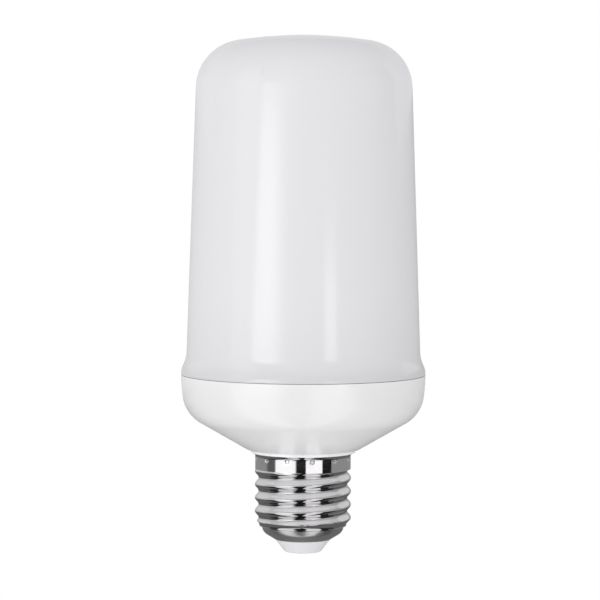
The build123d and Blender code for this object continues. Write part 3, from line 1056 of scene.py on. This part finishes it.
@dataclass
class Diffuser:
    """The opal cover: crown, shoulder, drafted wall, flared lip and the spigot below it."""

    columns: int = 256
    wall: float = 1.5 * MM
    wall_draft: float = math.radians(1.95)
    wall_height: float = 77.6 * MM
    lip_turn: float = math.radians(25.5)
    lip_bulge_radius: float = 5.8 * MM
    lip_hollow_radius: float = 9.3 * MM
    lip_edge: float = 0.06 * MM
    shoulder_radius: float = 13.0 * MM
    crown_rise: float = math.radians(9.0)
    spigot_length: float = 4.3 * MM
    spigot_wall: float = 1.1 * MM
    spigot_inset: float = 1.72 * MM

    def __post_init__(self) -> None:
        """Takes the rim's radius and the levels from the frame."""
        low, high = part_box("diffuser")
        self.rim_radius = high.x
        self.spigot_z = low.z
        self.lip_z = low.z + self.spigot_length
        self.top_z = high.z

    def outline(self) -> Outline:
        """Draws the section, from the crown down the inside and up the outside."""
        edge = self.lip_edge
        outside = Outline(self.rim_radius - edge, self.lip_z)
        outside.aim(0.0).arc(edge, QUARTER_TURN, Turn.LEFT)
        outside.arc(self.lip_bulge_radius, self.lip_turn, Turn.LEFT)
        outside.arc(self.lip_hollow_radius, self.lip_turn - self.wall_draft, Turn.RIGHT)
        foot_radius, foot_z = outside.pen
        shoulder_z = self.lip_z + self.wall_height
        wall_top_radius = foot_radius - (shoulder_z - foot_z) * math.tan(self.wall_draft)
        outside.to((wall_top_radius, shoulder_z))
        self.close_over(outside, self.shoulder_radius)
        spigot_radius = self.rim_radius - self.spigot_inset
        spigot_bore = spigot_radius - self.spigot_wall
        inside = Outline(spigot_radius, self.lip_z).to(
            (spigot_radius, self.spigot_z), (spigot_bore, self.spigot_z),
            (spigot_bore, self.lip_z), (foot_radius - self.wall, foot_z),
            (wall_top_radius - self.wall, shoulder_z))
        inside.aim(QUARTER_TURN + self.wall_draft)
        self.close_over(inside, self.shoulder_radius - self.wall)
        outside.points = list(reversed(inside.points)) + outside.points
        return outside

    def close_over(self, pen: Outline, shoulder_radius: float) -> None:
        """Draws the shoulder, and the crown as far as the axis.

        Args:
            pen: The outline at the wall's top.
            shoulder_radius: The radius of the shoulder's arc.
        """
        pen.arc(shoulder_radius, QUARTER_TURN - self.wall_draft - self.crown_rise, Turn.LEFT)
        pen.arc(pen.pen[0] / math.sin(self.crown_rise), self.crown_rise, Turn.LEFT)
        pen.points[-1] = (0.0, pen.pen[1])

    def dress(self) -> None:
        """Builds the cover."""
        maker = MeshMaker()
        maker.lathe(self.outline(), self.columns)
        finish = OpalPlastic(
            "opal_satin", (0.808, 0.803, 0.828), roughness=0.12, grain=3.2,
            grain_depth=0.001 * MM, seam_height=self.lip_z / MM, crown_height=self.top_z / MM)
        show_piece("diffuser_cover", maker, finish, "diffuser")


@dataclass
class Housing:
    """The white moulding: cup, cone, collar and neck, with its bosses and board guides."""

    columns: int = 256
    wall: float = 1.6 * MM
    neck_wall: float = 1.7 * MM
    neck_radius: float = 11.65 * MM
    land_radius: float = 12.57 * MM
    land_drop: float = 4.15 * MM
    flare_drop: float = 1.1 * MM
    flare_reach: float = 0.73 * MM
    seat_gap: float = 0.05 * MM
    collar_radius: float = 14.15 * MM
    collar_height: float = 0.95 * MM
    collar_edge: float = 0.12 * MM
    cone_foot_radius: float = 15.4 * MM
    cone_foot_edge: float = 0.1 * MM
    cone_angle: float = math.radians(30.1)
    corner_radius: float = 9.4 * MM
    side_radius: float = 44.0 * MM
    side_turn: float = math.radians(7.853)
    rim_edge: float = 0.06 * MM
    seat_drop: float = 4.23 * MM
    boss_radius: float = 2.7 * MM
    boss_sides: int = 6
    boss_circle: float = 24.0 * MM
    boss_drop: float = 5.48 * MM
    rib_width: float = 1.2 * MM
    rib_reach: float = 2.3 * MM
    rib_root: float = 0.3 * MM
    rib_offset: float = 1.52 * MM
    rib_gap: float = 0.02 * MM
    stop_height: float = 1.4 * MM

    def __post_init__(self) -> None:
        """Takes the levels of the rim, the collar and the neck's foot from the frame."""
        low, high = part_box("base_housing")
        self.rim_radius = high.x
        self.rim_z = high.z
        self.neck_z = low.z
        self.shell_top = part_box("screw_shell")[1].z
        self.collar_z = self.shell_top + self.seat_gap
        self.cone_foot_z = self.collar_z + self.collar_height
        self.floor_z = self.cone_foot_z + self.wall
        self.neck_bore = self.neck_radius - self.neck_wall

    def outline(self) -> Outline:
        """Draws the section, up the outside and down the inside."""
        foot, angle = self.cone_foot_radius, self.cone_angle
        corner_turn = QUARTER_TURN - angle - self.side_turn
        cone_top = (self.rim_radius - self.side_radius * (1 - math.cos(self.side_turn))
                    - self.corner_radius * (math.cos(self.side_turn) - math.sin(angle)))
        cone_top_z = self.cone_foot_z + (cone_top - foot) * math.tan(angle)
        land_z = self.shell_top - self.land_drop
        flare_radius = self.land_radius + self.flare_reach
        edge = self.collar_edge
        pen = Outline(self.neck_radius, self.neck_z).to(
            (self.neck_radius, land_z), (self.land_radius, land_z),
            (self.land_radius, self.shell_top - self.flare_drop),
            (flare_radius, self.shell_top), (flare_radius, self.collar_z),
            (self.collar_radius - edge, self.collar_z))
        pen.arc(edge, QUARTER_TURN, Turn.LEFT)
        pen.to((self.collar_radius, self.cone_foot_z - edge))
        pen.arc(edge, QUARTER_TURN, Turn.RIGHT)
        pen.to((foot - self.cone_foot_edge, self.cone_foot_z),
               (foot + self.cone_foot_edge,
                self.cone_foot_z + self.cone_foot_edge * math.tan(angle)),
               (cone_top, cone_top_z))
        pen.arc(self.corner_radius, corner_turn, Turn.LEFT)
        pen.arc(self.side_radius, self.side_turn - self.rim_edge / self.side_radius, Turn.LEFT)
        pen.arc(self.rim_edge, QUARTER_TURN, Turn.LEFT)
        pen.points[-1] = (pen.pen[0], self.rim_z)
        seat = self.rim_radius - self.wall
        pen.to((seat, self.rim_z), (seat, self.rim_z - self.seat_drop))
        inner = Outline(foot - self.wall * math.tan(angle / 2), self.floor_z)
        inner.to((cone_top - self.wall * math.sin(angle),
                  cone_top_z + self.wall * math.cos(angle)))
        inner.arc(self.corner_radius - self.wall, corner_turn, Turn.LEFT)
        pen.points += list(reversed(inner.points))
        return pen.to((self.neck_bore, self.floor_z), (self.neck_bore, self.neck_z))

    def within_cone(self, x: float, y: float) -> float:
        """Gives the level of the middle of the cone's wall at a point of the plan."""
        outward = math.hypot(x, y) - self.cone_foot_radius
        return (self.cone_foot_z + outward * math.tan(self.cone_angle)
                + self.wall / 2 / math.cos(self.cone_angle))

    def add_boss(self, maker: MeshMaker, side: int) -> None:
        """Adds a screw boss that stands in the cone, on the side -1 or 1."""
        angles = [FULL_TURN * corner / self.boss_sides for corner in range(self.boss_sides)]
        corners = [(self.boss_radius * math.cos(angle),
                    side * self.boss_circle + self.boss_radius * math.sin(angle))
                   for angle in angles]
        bottoms = [self.within_cone(x, y) for x, y in corners]
        maker.prism(corners, bottoms, self.rim_z - self.boss_drop)

    def add_guides(self, maker: MeshMaker, side: int) -> None:
        """Adds two guide ribs in the neck and the stop between them, on the side -1 or 1."""
        inner, outer = sorted((side * (self.neck_bore - self.rib_reach),
                               side * (self.neck_bore + self.rib_root)))
        half, offset = self.rib_width / 2, self.rib_offset
        blocks = [(-offset - half, -offset + half, self.floor_z),
                  (offset - half, offset + half, self.floor_z),
                  (-offset, offset, self.neck_z + self.stop_height)]
        for near, far, top in blocks:
            corners = rectangle(inner, outer, near, far)
            maker.prism(corners, [self.neck_z + self.rib_gap] * len(corners), top)

    def dress(self) -> None:
        """Builds the housing, with its bosses, guide ribs and stops."""
        maker = MeshMaker()
        maker.lathe(self.outline(), self.columns)
        for side in (-1, 1):
            self.add_boss(maker, side)
            self.add_guides(maker, side)
        finish = GlossWhite(
            "white_gloss", (0.88, 0.878, 0.885), roughness=0.18, grain=1.6,
            grain_depth=0.002 * MM, foot_height=self.cone_foot_z / MM)
        show_piece("base_housing_shell", maker, finish, "base_housing")


@dataclass(frozen=True)
class Nick:
    """A small dent in the shell, by its angle from the right, its height and its depth."""

    turn: float
    height: float
    depth: float


@dataclass
class ThreadedShell:
    """The cap's thin rolled shell: thread, skirt, flared lip, punch dimples and small nicks."""

    columns: int = 400
    sheet: float = 0.28 * MM
    rim_radius: float = 7.7 * MM
    corner_radius: float = 2.5 * MM
    bowl_radius: float = 11.1 * MM
    bowl_steps: int = 4
    root_radius: float = 12.05 * MM
    crest_radius: float = 13.08 * MM
    pitch: float = 3.629 * MM
    first_crest: float = 9.55 * MM
    thread_step: float = 0.14 * MM
    fade: float = 0.22 * MM
    fade_curve: float = 0.25
    fade_shift: float = 0.02
    skirt_radius: float = 12.97 * MM
    skirt_drop: float = 4.65 * MM
    skirt_rise: float = 0.24 * MM
    skirt_step: float = 0.16 * MM
    lip_radius: float = 13.7 * MM
    lip_height: float = 0.85 * MM
    lip_curve: float = 1.5
    lip_steps: int = 10
    inner_step: int = 4
    inner_lift: float = 0.6
    inner_inset: float = 0.8
    sharp_edge: float = 40.0
    dimple_count: int = 12
    dimple_turn: float = math.radians(11.0)
    dimple_drop: float = 1.3 * MM
    dimple_radius: float = 0.45 * MM
    dimple_depth: float = 0.28 * MM
    dimple_reach: float = 3.0
    dimple_flatness: int = 4
    nick_width: float = 0.9 * MM
    nick_height: float = 0.25 * MM
    nick_reach: float = 2.5
    nicks: tuple[Nick, ...] = (
        Nick(math.radians(-106.0), 26.7 * MM, 0.03 * MM),
        Nick(math.radians(-65.0), 6.3 * MM, 0.06 * MM),
        Nick(math.radians(-81.0), 5.4 * MM, 0.06 * MM))

    def __post_init__(self) -> None:
        """Takes the shell's levels from the frame, and draws its bowl."""
        low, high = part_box("screw_shell")
        self.rim_z = low.z
        self.top_z = high.z
        self.lip_z = self.top_z - self.lip_height
        self.skirt_z = self.top_z - self.skirt_drop
        self.dimple_z = self.top_z - self.dimple_drop
        self.angles = [FULL_TURN * column / self.columns for column in range(self.columns)]
        self.bowl = self.draw_bowl()
        self.corner_top = self.bowl[-1][1]

    def draw_bowl(self) -> list[Point]:
        """Draws the bowl from the rim to the foot of the thread's lead-in."""
        tangent_radius = self.bowl_radius - self.corner_radius * (1 - math.sin(BOWL_SLOPE))
        run = tangent_radius - self.rim_radius
        rise = run * math.tan(BOWL_SLOPE)
        pen = Outline(self.rim_radius, self.rim_z)
        for step in range(1, self.bowl_steps + 1):
            share = step / self.bowl_steps
            pen.to((self.rim_radius + share * run, self.rim_z + share * rise))
        pen.arc(self.corner_radius, QUARTER_TURN - BOWL_SLOPE, Turn.LEFT)
        return pen.points

    def draw_lip(self) -> list[Point]:
        """Draws the skirt's flared lip."""
        flare = self.lip_radius - self.skirt_radius
        shares = [step / self.lip_steps for step in range(self.lip_steps + 1)]
        return [(self.skirt_radius + flare * share ** self.lip_curve,
                 self.lip_z + self.lip_height * share) for share in shares]

    def soften(self, first: float, second: float, sign: int) -> float:
        """Gives the lesser (sign -1) or greater (sign 1) of two radii, rounded where they meet."""
        gap = (first - second) / self.fade
        apart = sign * self.fade * math.sqrt(gap * gap + self.fade_curve)
        return (first + second + apart) / 2 - sign * self.fade * self.fade_shift

    def thread_radius(self, angle: float, height: float) -> float:
        """Gives the outer radius in the threaded stretch.

        Args:
            angle: The angle about the axis, in radians.
            height: The height.

        Returns:
            The radius, blended into the bowl below and the skirt above.
        """
        phase = (height - self.first_crest) / self.pitch - angle / FULL_TURN
        wave = 0.5 + 0.5 * math.cos(FULL_TURN * phase)
        radius = self.root_radius + (self.crest_radius - self.root_radius) * wave
        lead_in = self.bowl_radius + (height - self.corner_top)
        radius = self.soften(radius, lead_in, -1)
        climb = (height - self.skirt_z) / self.skirt_rise
        ramp = self.root_radius + climb * (self.skirt_radius - self.root_radius)
        ramp = min(ramp, self.skirt_radius)
        over = min(max(climb, 0.0), 1.0)
        blended = self.soften(radius, max(ramp, self.root_radius - self.fade), 1)
        return blended * (1 - over) + max(self.skirt_radius, ramp) * over

    def dents(self, angle: float, height: float) -> float:
        """Gives how far the sheet is pushed in by dimples and nicks.

        Args:
            angle: The angle about the axis, in radians.
            height: The height.

        Returns:
            The depth.
        """
        depth = 0.0
        if abs(height - self.dimple_z) < self.dimple_reach * self.dimple_radius:
            step = FULL_TURN / self.dimple_count
            turn = (angle - self.dimple_turn + step / 2) % step - step / 2
            away = math.hypot(turn * self.skirt_radius, height - self.dimple_z)
            fall = (away / self.dimple_radius) ** self.dimple_flatness
            depth += self.dimple_depth * math.exp(-fall)
        for nick in self.nicks:
            turn = (angle - nick.turn + math.pi) % FULL_TURN - math.pi
            away = math.hypot(turn * self.bowl_radius / self.nick_width,
                              (height - nick.height) / self.nick_height)
            if away < self.nick_reach:
                depth += nick.depth * math.exp(-(away ** 2))
        return depth

    def threaded(self, height: float) -> list[float]:
        """Gives the thread's radii round one level."""
        return [self.thread_radius(angle, height) for angle in self.angles]

    def dented(self, radii: list[float], height: float) -> list[float]:
        """Takes the dents at one level off the radii round it."""
        return [radius - self.dents(angle, height) for radius, angle in zip(radii, self.angles)]

    def level_ring(self, radius: float, height: float) -> tuple[float, list[float]]:
        """Gives a level with one radius all round, less its dents."""
        return height, self.dented([radius] * self.columns, height)

    def levels(self, start: float, end: float, step: float) -> list[float]:
        """Gives even levels between two, both left out."""
        count = max(2, math.ceil((end - start) / step))
        return [start + (end - start) * level / count for level in range(1, count)]

    def rings(self) -> list[tuple[float, list[float]]]:
        """Gives each ring's level and radii, up the sheet's outside and down its inside."""
        sheet, step, lip = self.sheet, self.inner_step, self.draw_lip()
        skirt_foot = self.skirt_z + self.skirt_rise
        thread = self.levels(self.corner_top, skirt_foot, self.thread_step)
        skirt = [skirt_foot] + self.levels(skirt_foot, self.lip_z, self.skirt_step)
        rings = [self.level_ring(*point) for point in self.bowl]
        rings += [(height, self.dented(self.threaded(height), height)) for height in thread]
        rings += [self.level_ring(self.skirt_radius, height) for height in skirt]
        rings += [self.level_ring(*point) for point in lip]
        rings += [self.level_ring(radius - sheet, height)
                  for radius, height in (lip[-1], lip[step])]
        rings.append(self.level_ring(self.skirt_radius - sheet, skirt_foot))
        rings += [(height, [radius - sheet for radius in self.threaded(height)])
                  for height in reversed(thread[step // 2::step])]
        rings += [(height + sheet * self.inner_lift,
                   [radius - sheet * self.inner_inset] * self.columns)
                  for radius, height in reversed(self.bowl[step::step])]
        _, rim = self.level_ring(self.rim_radius, self.rim_z)
        rings.append((self.rim_z + sheet / math.cos(BOWL_SLOPE), rim))
        return rings

    def dress(self) -> None:
        """Builds the shell as one closed sheet."""
        maker = MeshMaker()
        rings = [maker.ring(radii, height) for height, radii in self.rings()]
        for lower, upper in zip(rings, rings[1:] + rings[:1]):
            maker.bridge(lower, upper)
        finish = RolledNickel(
            "rolled_nickel", (0.782, 0.769, 0.783), roughness=0.03, grain_depth=0.0015 * MM,
            root_radius=self.root_radius / MM, crest_radius=self.crest_radius / MM,
            crease_height=self.corner_top / MM)
        show_piece("threaded_shell", maker, finish, "screw_shell",
                   self.sharp_edge)


@dataclass
class CapFoot:
    """The insulator's nose under the shell, and the contact that is pressed up into it."""

    columns: int = 192
    face_radius: float = 4.9 * MM
    nose_edge: float = 1.0 * MM
    throat_radius: float = 7.58 * MM
    flange_height: float = 1.5 * MM
    shank_hole: float = 1.05 * MM
    contact_radius: float = 2.75 * MM
    contact_height: float = 0.2 * MM
    contact_edge: float = 0.08 * MM
    shank_radius: float = 1.0 * MM

    def dress_insulator(self) -> None:
        """Builds the insulator."""
        low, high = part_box("cap_insulator")
        face_z, flange_radius, top_z = low.z, high.x, high.z
        shell_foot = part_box("screw_shell")[0].z
        flange_z = top_z - self.flange_height
        throat_top = flange_z - (flange_radius - self.throat_radius) * math.tan(BOWL_SLOPE)
        slope = math.atan2(shell_foot - face_z, self.throat_radius - self.face_radius)
        pen = Outline(self.shank_hole, face_z)
        pen.to((self.face_radius - self.nose_edge * math.tan(slope / 2), face_z))
        pen.arc(self.nose_edge, slope, Turn.LEFT)
        pen.to((self.throat_radius, shell_foot), (self.throat_radius, throat_top),
               (flange_radius, flange_z), (flange_radius, top_z), (self.shank_hole, top_z))
        maker = MeshMaker()
        maker.lathe(pen, self.columns)
        finish = GlassyWhite(
            "fired_white", (0.815, 0.815, 0.835), roughness=0.3, grain_depth=0.01 * MM)
        show_piece("insulator_nose", maker, finish, "cap_insulator")

    def dress_contact(self) -> None:
        """Builds the contact, a flat-headed nail with a softened edge."""
        low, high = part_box("centre_contact")
        edge, shank = self.contact_edge, self.shank_radius
        head_top = low.z + self.contact_height
        pen = Outline(0.0, low.z)
        pen.to((self.contact_radius - edge, low.z))
        pen.arc(edge, QUARTER_TURN, Turn.LEFT)
        pen.to((self.contact_radius, head_top), (shank, head_top), (shank, high.z - 2 * edge),
               (shank - 2 * edge, high.z), (0.0, high.z))
        maker = MeshMaker()
        maker.lathe(pen, self.columns // 2)
        finish = BareMetal("contact_brass", (0.74, 0.6, 0.34), roughness=0.22)
        show_piece("contact_nail", maker, finish, "centre_contact")

    def dress(self) -> None:
        """Builds both."""
        self.dress_insulator()
        self.dress_contact()


@dataclass
class LightSource:
    """The former with its flexible board, diodes, connector and screws."""

    rows: int = 8

    def dress(self) -> None:
        """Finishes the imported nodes."""
        first_low, first_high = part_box("led_row_1")
        second_low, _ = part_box("led_row_2")
        diodes = DiodeFace(
            "diode_faces", (0.85, 0.84, 0.8), roughness=0.45,
            first_row=(first_low.z + first_high.z) / 2 / MM,
            row_pitch=(second_low.z - first_low.z) / MM, radius=first_high.x / MM)
        dress_nodes([f"led_row_{row}" for row in range(1, self.rows + 1)], diodes)
        dress_nodes(["led_former"], Finish("former_white", (0.8, 0.8, 0.78), mottle=0.04))
        dress_nodes(["flex_board"], FlexFilm("flex_film", (0.78, 0.76, 0.7), roughness=0.45))
        dress_nodes(["flex_connector"],
                    Finish("connector_cream", (0.75, 0.73, 0.68), roughness=0.42))
        dress_nodes(["former_screws"], BareMetal("zinc_plate", (0.62, 0.62, 0.64), roughness=0.3))


@dataclass
class Electronics:
    """The two boards and what they carry."""

    sleeve_colour: Colour = (0.05, 0.06, 0.1)

    def sleeve(self, node: str) -> Sleeve:
        """Gives a capacitor's sleeve, placed by its node's box."""
        low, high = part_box(node)
        middle = (low + high) / 2 / MM
        return Sleeve(f"{node}_sleeve", self.sleeve_colour, roughness=0.3,
                      axis=(middle.x, middle.y), top=high.z / MM,
                      radius=(high.x - low.x) / 2 / MM)

    def dress_boards(self) -> None:
        """Finishes the boards and the header between them."""
        dress_nodes(["control_board"],
                    PrintedBoard("green_mask", (0.03, 0.22, 0.08), roughness=0.3))
        dress_nodes(["driver_board"],
                    PrintedBoard("bare_laminate", (0.6, 0.5, 0.28), track=(0.52, 0.36, 0.18),
                                 track_pitch=2.54))
        board_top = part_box("driver_board")[1].z / MM
        dress_nodes(["pin_header"],
                    PinBlock("header_black", (0.03, 0.03, 0.03), block_top=board_top))

    def dress(self) -> None:
        """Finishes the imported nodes."""
        self.dress_boards()
        dress_nodes(["control_chip", "driver_chip", "bridge_rectifier"],
                    Finish("chip_black", (0.03, 0.03, 0.034), grain=9.0, mottle=0.2))
        dress_nodes(["tilt_sensor"],
                    Finish("sensor_grey", (0.09, 0.09, 0.1), roughness=0.45, mottle=0.15))
        for node in ("input_capacitor", "output_capacitor"):
            dress_nodes([node], self.sleeve(node))
        dress_nodes(["transformer_core"],
                    Finish("ferrite_grey", (0.12, 0.12, 0.125), roughness=0.6, grain=3.0,
                           grain_depth=0.02 * MM, mottle=0.25))
        dress_nodes(["transformer_coil"],
                    WoundTape("yellow_tape", (0.8, 0.58, 0.08), roughness=0.35))
        fuse_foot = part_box("fuse_resistor")[0].z / MM
        dress_nodes(["fuse_resistor"],
                    BandedCoat("resistor_coat", (0.3, 0.52, 0.46), roughness=0.4, foot=fuse_foot))
        dress_nodes(["live_lead", "neutral_lead"],
                    BareMetal("tinned_wire", (0.72, 0.72, 0.73), roughness=0.28,
                              streak_scale=(2.0, 2.0, 0.2)))


# The studio

@dataclass(frozen=True)
class Card:
    """A studio card that shows in gloss alone, bent about the lamp.

    The start and end are degrees from the camera to the viewer's right. The level is how much
    it glows. The softness and the tail are the degrees over which its start and end fade, and
    a card without a tail fades alike at both. The slant is how much further out its start lies
    at its foot.
    """

    name: str
    start: float
    end: float
    level: float
    bottom: float = -0.045
    top: float = 0.6
    distance: float = 0.75
    soft: float = 0.0
    tail: float = 0.0
    slant: float = 0.0

    def lowered(self, floor: float) -> "Card":
        """Gives the same card in the low drum, between the floor and the upper drum's foot."""
        return replace(self, bottom=floor, top=self.bottom)


@dataclass
class Studio:
    """The floor, the light, the cards that the gloss shows and the camera."""

    floor_z: float = -0.12
    floor_size: float = 60.0
    floor_colour: float = 0.8
    floor_lift: float = 0.27
    floor_share: float = 0.18
    horizon: float = 0.87
    zenith: float = 0.68
    mean_height: float = 2 / 3
    key_strength: float = 0.19
    key_azimuth: float = -25.0
    key_elevation: float = 15.0
    key_distance: float = 2.4
    key_size: float = 1.6
    camera_place: Triple = (0.0, -0.706, 0.10626)
    camera_near: float = 0.01
    aim: Triple = (-0.00095, 0.0, 0.06868)
    lens: float = 156.7
    roll: float = 0.0033
    card_step: float = 4.0
    card_gap: float = 1.0 * MM
    high_cards: tuple[Card, ...] = (
        Card("card_high_left", -180.0, -76.0, 0.6),
        Card("card_high_faint", -76.0, -46.0, 0.84, distance=0.73, soft=3.0),
        Card("card_high_main", -45.5, -14.0, 1.95, bottom=0.04, top=0.2, distance=0.72,
             soft=3.0, tail=20.0, slant=7.0),
        Card("card_high_front", -76.0, 76.0, 0.48),
        Card("card_high_second", 19.0, 33.0, 1.8, bottom=0.03, top=0.12, distance=0.72,
             soft=3.0),
        Card("card_high_right", 76.0, 180.0, 0.42),
        Card("card_high_back", 110.0, 250.0, 0.74, bottom=0.15, distance=0.73),
        Card("card_cup_main", -58.0, -24.0, 2.2, top=-0.005, distance=0.71, soft=5.0),
        Card("card_cup_second", 22.0, 42.0, 1.9, top=-0.005, distance=0.71, soft=4.0),
    )
    low_cards: tuple[Card, ...] = (
        Card("card_low_left", -180.0, -60.0, 0.31),
        Card("card_low_shade", -104.0, -60.0, 0.11, distance=0.745, soft=16.0),
        Card("card_low_white", -72.0, -14.0, 1.25, distance=0.74, soft=6.0),
        Card("card_low_middle", -66.0, 7.0, 0.01),
        Card("card_low_second", 6.0, 48.0, 1.25, distance=0.74, soft=2.0),
        Card("card_low_black", 7.0, 72.0, 0.01),
        Card("card_low_right", 72.0, 180.0, 0.31),
    )
    floor_cards: tuple[Card, ...] = (
        Card("card_floor_shade", -98.0, -66.0, 0.03),
        Card("card_floor_white", -72.0, -20.0, 0.85, soft=9.0),
        Card("card_floor_middle", -66.0, 9.0, 0.01),
        Card("card_floor_second", 7.0, 52.0, 0.85, soft=6.0),
        Card("card_floor_black", 9.0, 92.0, 0.02),
        Card("card_floor_back", 92.0, 262.0, 0.14),
    )
    lid_card: Card = Card("card_lid", -180.0, 180.0, 0.62)

    def stage_mesh(self, name: str, points: list, faces: list,
                   material: bpy.types.Material) -> bpy.types.Object:
        """Adds a piece of the stage.

        Args:
            name: Its name.
            points: Its points.
            faces: Its faces.
            material: Its material.

        Returns:
            The stage's object.
        """
        mesh = bpy.data.meshes.new(name)
        mesh.from_pydata(points, [], faces)
        mesh.materials.append(material)
        made = add_object(name, mesh)
        return made

    def seen_white(self, board: Board) -> Wire:
        """Gives 1 for rays from the camera and for rays that gloss or glass sends on."""
        flags = [board.node("ShaderNodeLightPath", output=name)
                 for name in ("Is Camera Ray", "Is Glossy Ray", "Is Transmission Ray")]
        return flags[0].greater(flags[1]).greater(flags[2])

    def set_world(self) -> None:
        """Makes the world white to the eye, and to the lamp a light that is dimmer overhead."""
        world = bpy.data.worlds.new("studio")
        world.use_nodes = True
        board = Board(world.node_tree)
        seen = self.seen_white(board)
        _, _, upward = board.split(board.node("ShaderNodeTexCoord", output="Generated"))
        ambient = self.horizon - (self.horizon - self.zenith) * upward.greater(0.0)
        strength = ambient + (1 - ambient) * seen
        light = board.node("ShaderNodeBackground", inputs={"Color": WHITE, "Strength": strength})
        board.node("ShaderNodeOutputWorld", inputs={"Surface": light})
        bpy.context.scene.world = world

    def lay_floor(self) -> None:
        """Lays a floor that keeps a faint shadow and glows by what it lacks to white."""
        material, board = new_material("floor_white")
        ambient = self.horizon - (self.horizon - self.zenith) * self.mean_height
        lit = self.glowing(board, self.floor_colour, self.floor_lift)
        seen = self.glowing(board, self.floor_share, 1 - self.floor_share * ambient)
        inputs = {0: self.seen_white(board), 1: lit, 2: seen}
        board.finish_with(board.node("ShaderNodeMixShader", inputs=inputs))
        reach = self.floor_size / 2
        corners = [(x, y, self.floor_z) for x, y in rectangle(-reach, reach, -reach, reach)]
        self.stage_mesh("floor", corners, [(0, 1, 2, 3)], material)

    def glowing(self, board: Board, grey: float, strength: float) -> Wire:
        """Adds a matt grey that also glows.

        Args:
            board: The material's board.
            grey: How light the grey is.
            strength: How much it glows.

        Returns:
            The shader.
        """
        matt = board.node("ShaderNodeBsdfDiffuse", inputs={"Color": (grey, grey, grey)})
        return board.node("ShaderNodeAddShader", inputs={0: matt, 1: board.glow(strength)})

    def set_key(self) -> None:
        """Hangs a large soft light on the left of the camera."""
        lamp = bpy.data.lights.new("key", "AREA")
        lamp.shape = "DISK"
        lamp.size = self.key_size
        lamp.energy = self.key_strength * (math.pi * self.key_distance) ** 2
        key = add_object("key", lamp)
        turn, lift = math.radians(self.key_azimuth), math.radians(self.key_elevation)
        away = Vector((math.sin(turn) * math.cos(lift), -math.cos(turn) * math.cos(lift),
                       math.sin(lift)))
        key.location = (cad_low + cad_high) / 2 + away * self.key_distance
        key.rotation_euler = away.to_track_quat("Z", "Y").to_euler()
        key.visible_glossy = False
        log.info("key light of %.2f W", lamp.energy)

    def card_material(self, card: Card) -> bpy.types.Material:
        """Makes a card's glow, which fades at its two ends where the card is soft.

        Args:
            card: The card.

        Returns:
            Its material.
        """
        material, board = new_material(card.name)
        shader = board.glow(card.level)
        if card.soft:
            clear = board.node("ShaderNodeBsdfTransparent")
            x, y, height = board.axes()
            azimuth = x.angle_over(y * -1.0)
            start, end, soft, tail, slant = (math.radians(part) for part in (
                card.start, card.end, card.soft, card.tail or card.soft, card.slant))
            sunk = (card.top / MM - height) * (slant * MM / (card.top - card.bottom))
            solid = (azimuth + sunk).rise(start, start + soft) * azimuth.rise(end, end - tail)
            shader = board.node("ShaderNodeMixShader", inputs={0: solid, 1: clear, 2: shader})
        board.finish_with(shader)
        return material

    def add_card(self, card: Card, edges: tuple[Point, Point]) -> None:
        """Adds a card between two level arcs about the lamp, hidden from all but glossy rays.

        Args:
            card: Its span and level.
            edges: Each arc's radius and height.
        """
        first = card.start - card.slant
        steps = math.ceil((card.end - first) / self.card_step)
        turns = [math.radians(first + (card.end - first) * step / steps)
                 for step in range(steps + 1)]
        points = [(radius * math.sin(turn), -radius * math.cos(turn), height)
                  for radius, height in edges for turn in turns]
        faces = [(step, step + 1, steps + 2 + step, steps + 1 + step) for step in range(steps)]
        made = self.stage_mesh(card.name, points, faces, self.card_material(card))
        for rays in ("camera", "diffuse", "transmission", "shadow", "volume_scatter"):
            setattr(made, f"visible_{rays}", False)

    def hang_card(self, card: Card) -> None:
        """Hangs one card as part of an upright drum about the lamp."""
        self.add_card(card, ((card.distance, card.bottom), (card.distance, card.top)))

    def lay_card(self, card: Card) -> None:
        """Lays one card just over the floor, and the soft ones over the rest."""
        level = self.floor_z + (2 if card.soft else 1) * self.card_gap
        self.add_card(card, ((self.card_gap, level), (card.distance, level)))

    def lay_lid(self, card: Card) -> None:
        """Lays one card over the top of the upper drum."""
        self.add_card(card, ((card.distance, card.top), (self.card_gap, card.top)))

    def set_camera(self) -> None:
        """Places the camera where the photograph was taken from."""
        camera = add_object("camera", bpy.data.cameras.new("camera"))
        camera.data.lens = self.lens
        camera.data.clip_start = self.camera_near
        camera.location = self.camera_place
        away = Vector(self.camera_place) - Vector(self.aim)
        facing = away.to_track_quat("Z", "Y") @ Quaternion((0.0, 0.0, 1.0), self.roll)
        camera.rotation_euler = facing.to_euler()
        bpy.context.scene.camera = camera

    def build(self) -> None:
        """Sets up the whole studio."""
        bpy.context.scene.view_settings.view_transform = "Standard"
        self.set_camera()
        self.set_world()
        self.lay_floor()
        self.set_key()
        for card in self.high_cards:
            self.hang_card(card)
        for card in self.low_cards:
            self.hang_card(card.lowered(self.floor_z))
        for card in self.floor_cards:
            self.lay_card(card)
        self.lay_lid(self.lid_card)


def main() -> None:
    """Builds the studio and dresses the lamp, from the camera to the innermost piece."""
    logging.basicConfig(level=logging.INFO, format="%(message)s")
    Studio().build()
    for assembly in (Diffuser, Housing, ThreadedShell, CapFoot, LightSource, Electronics):
        assembly().dress()


if __name__ == "__main__":
    main()
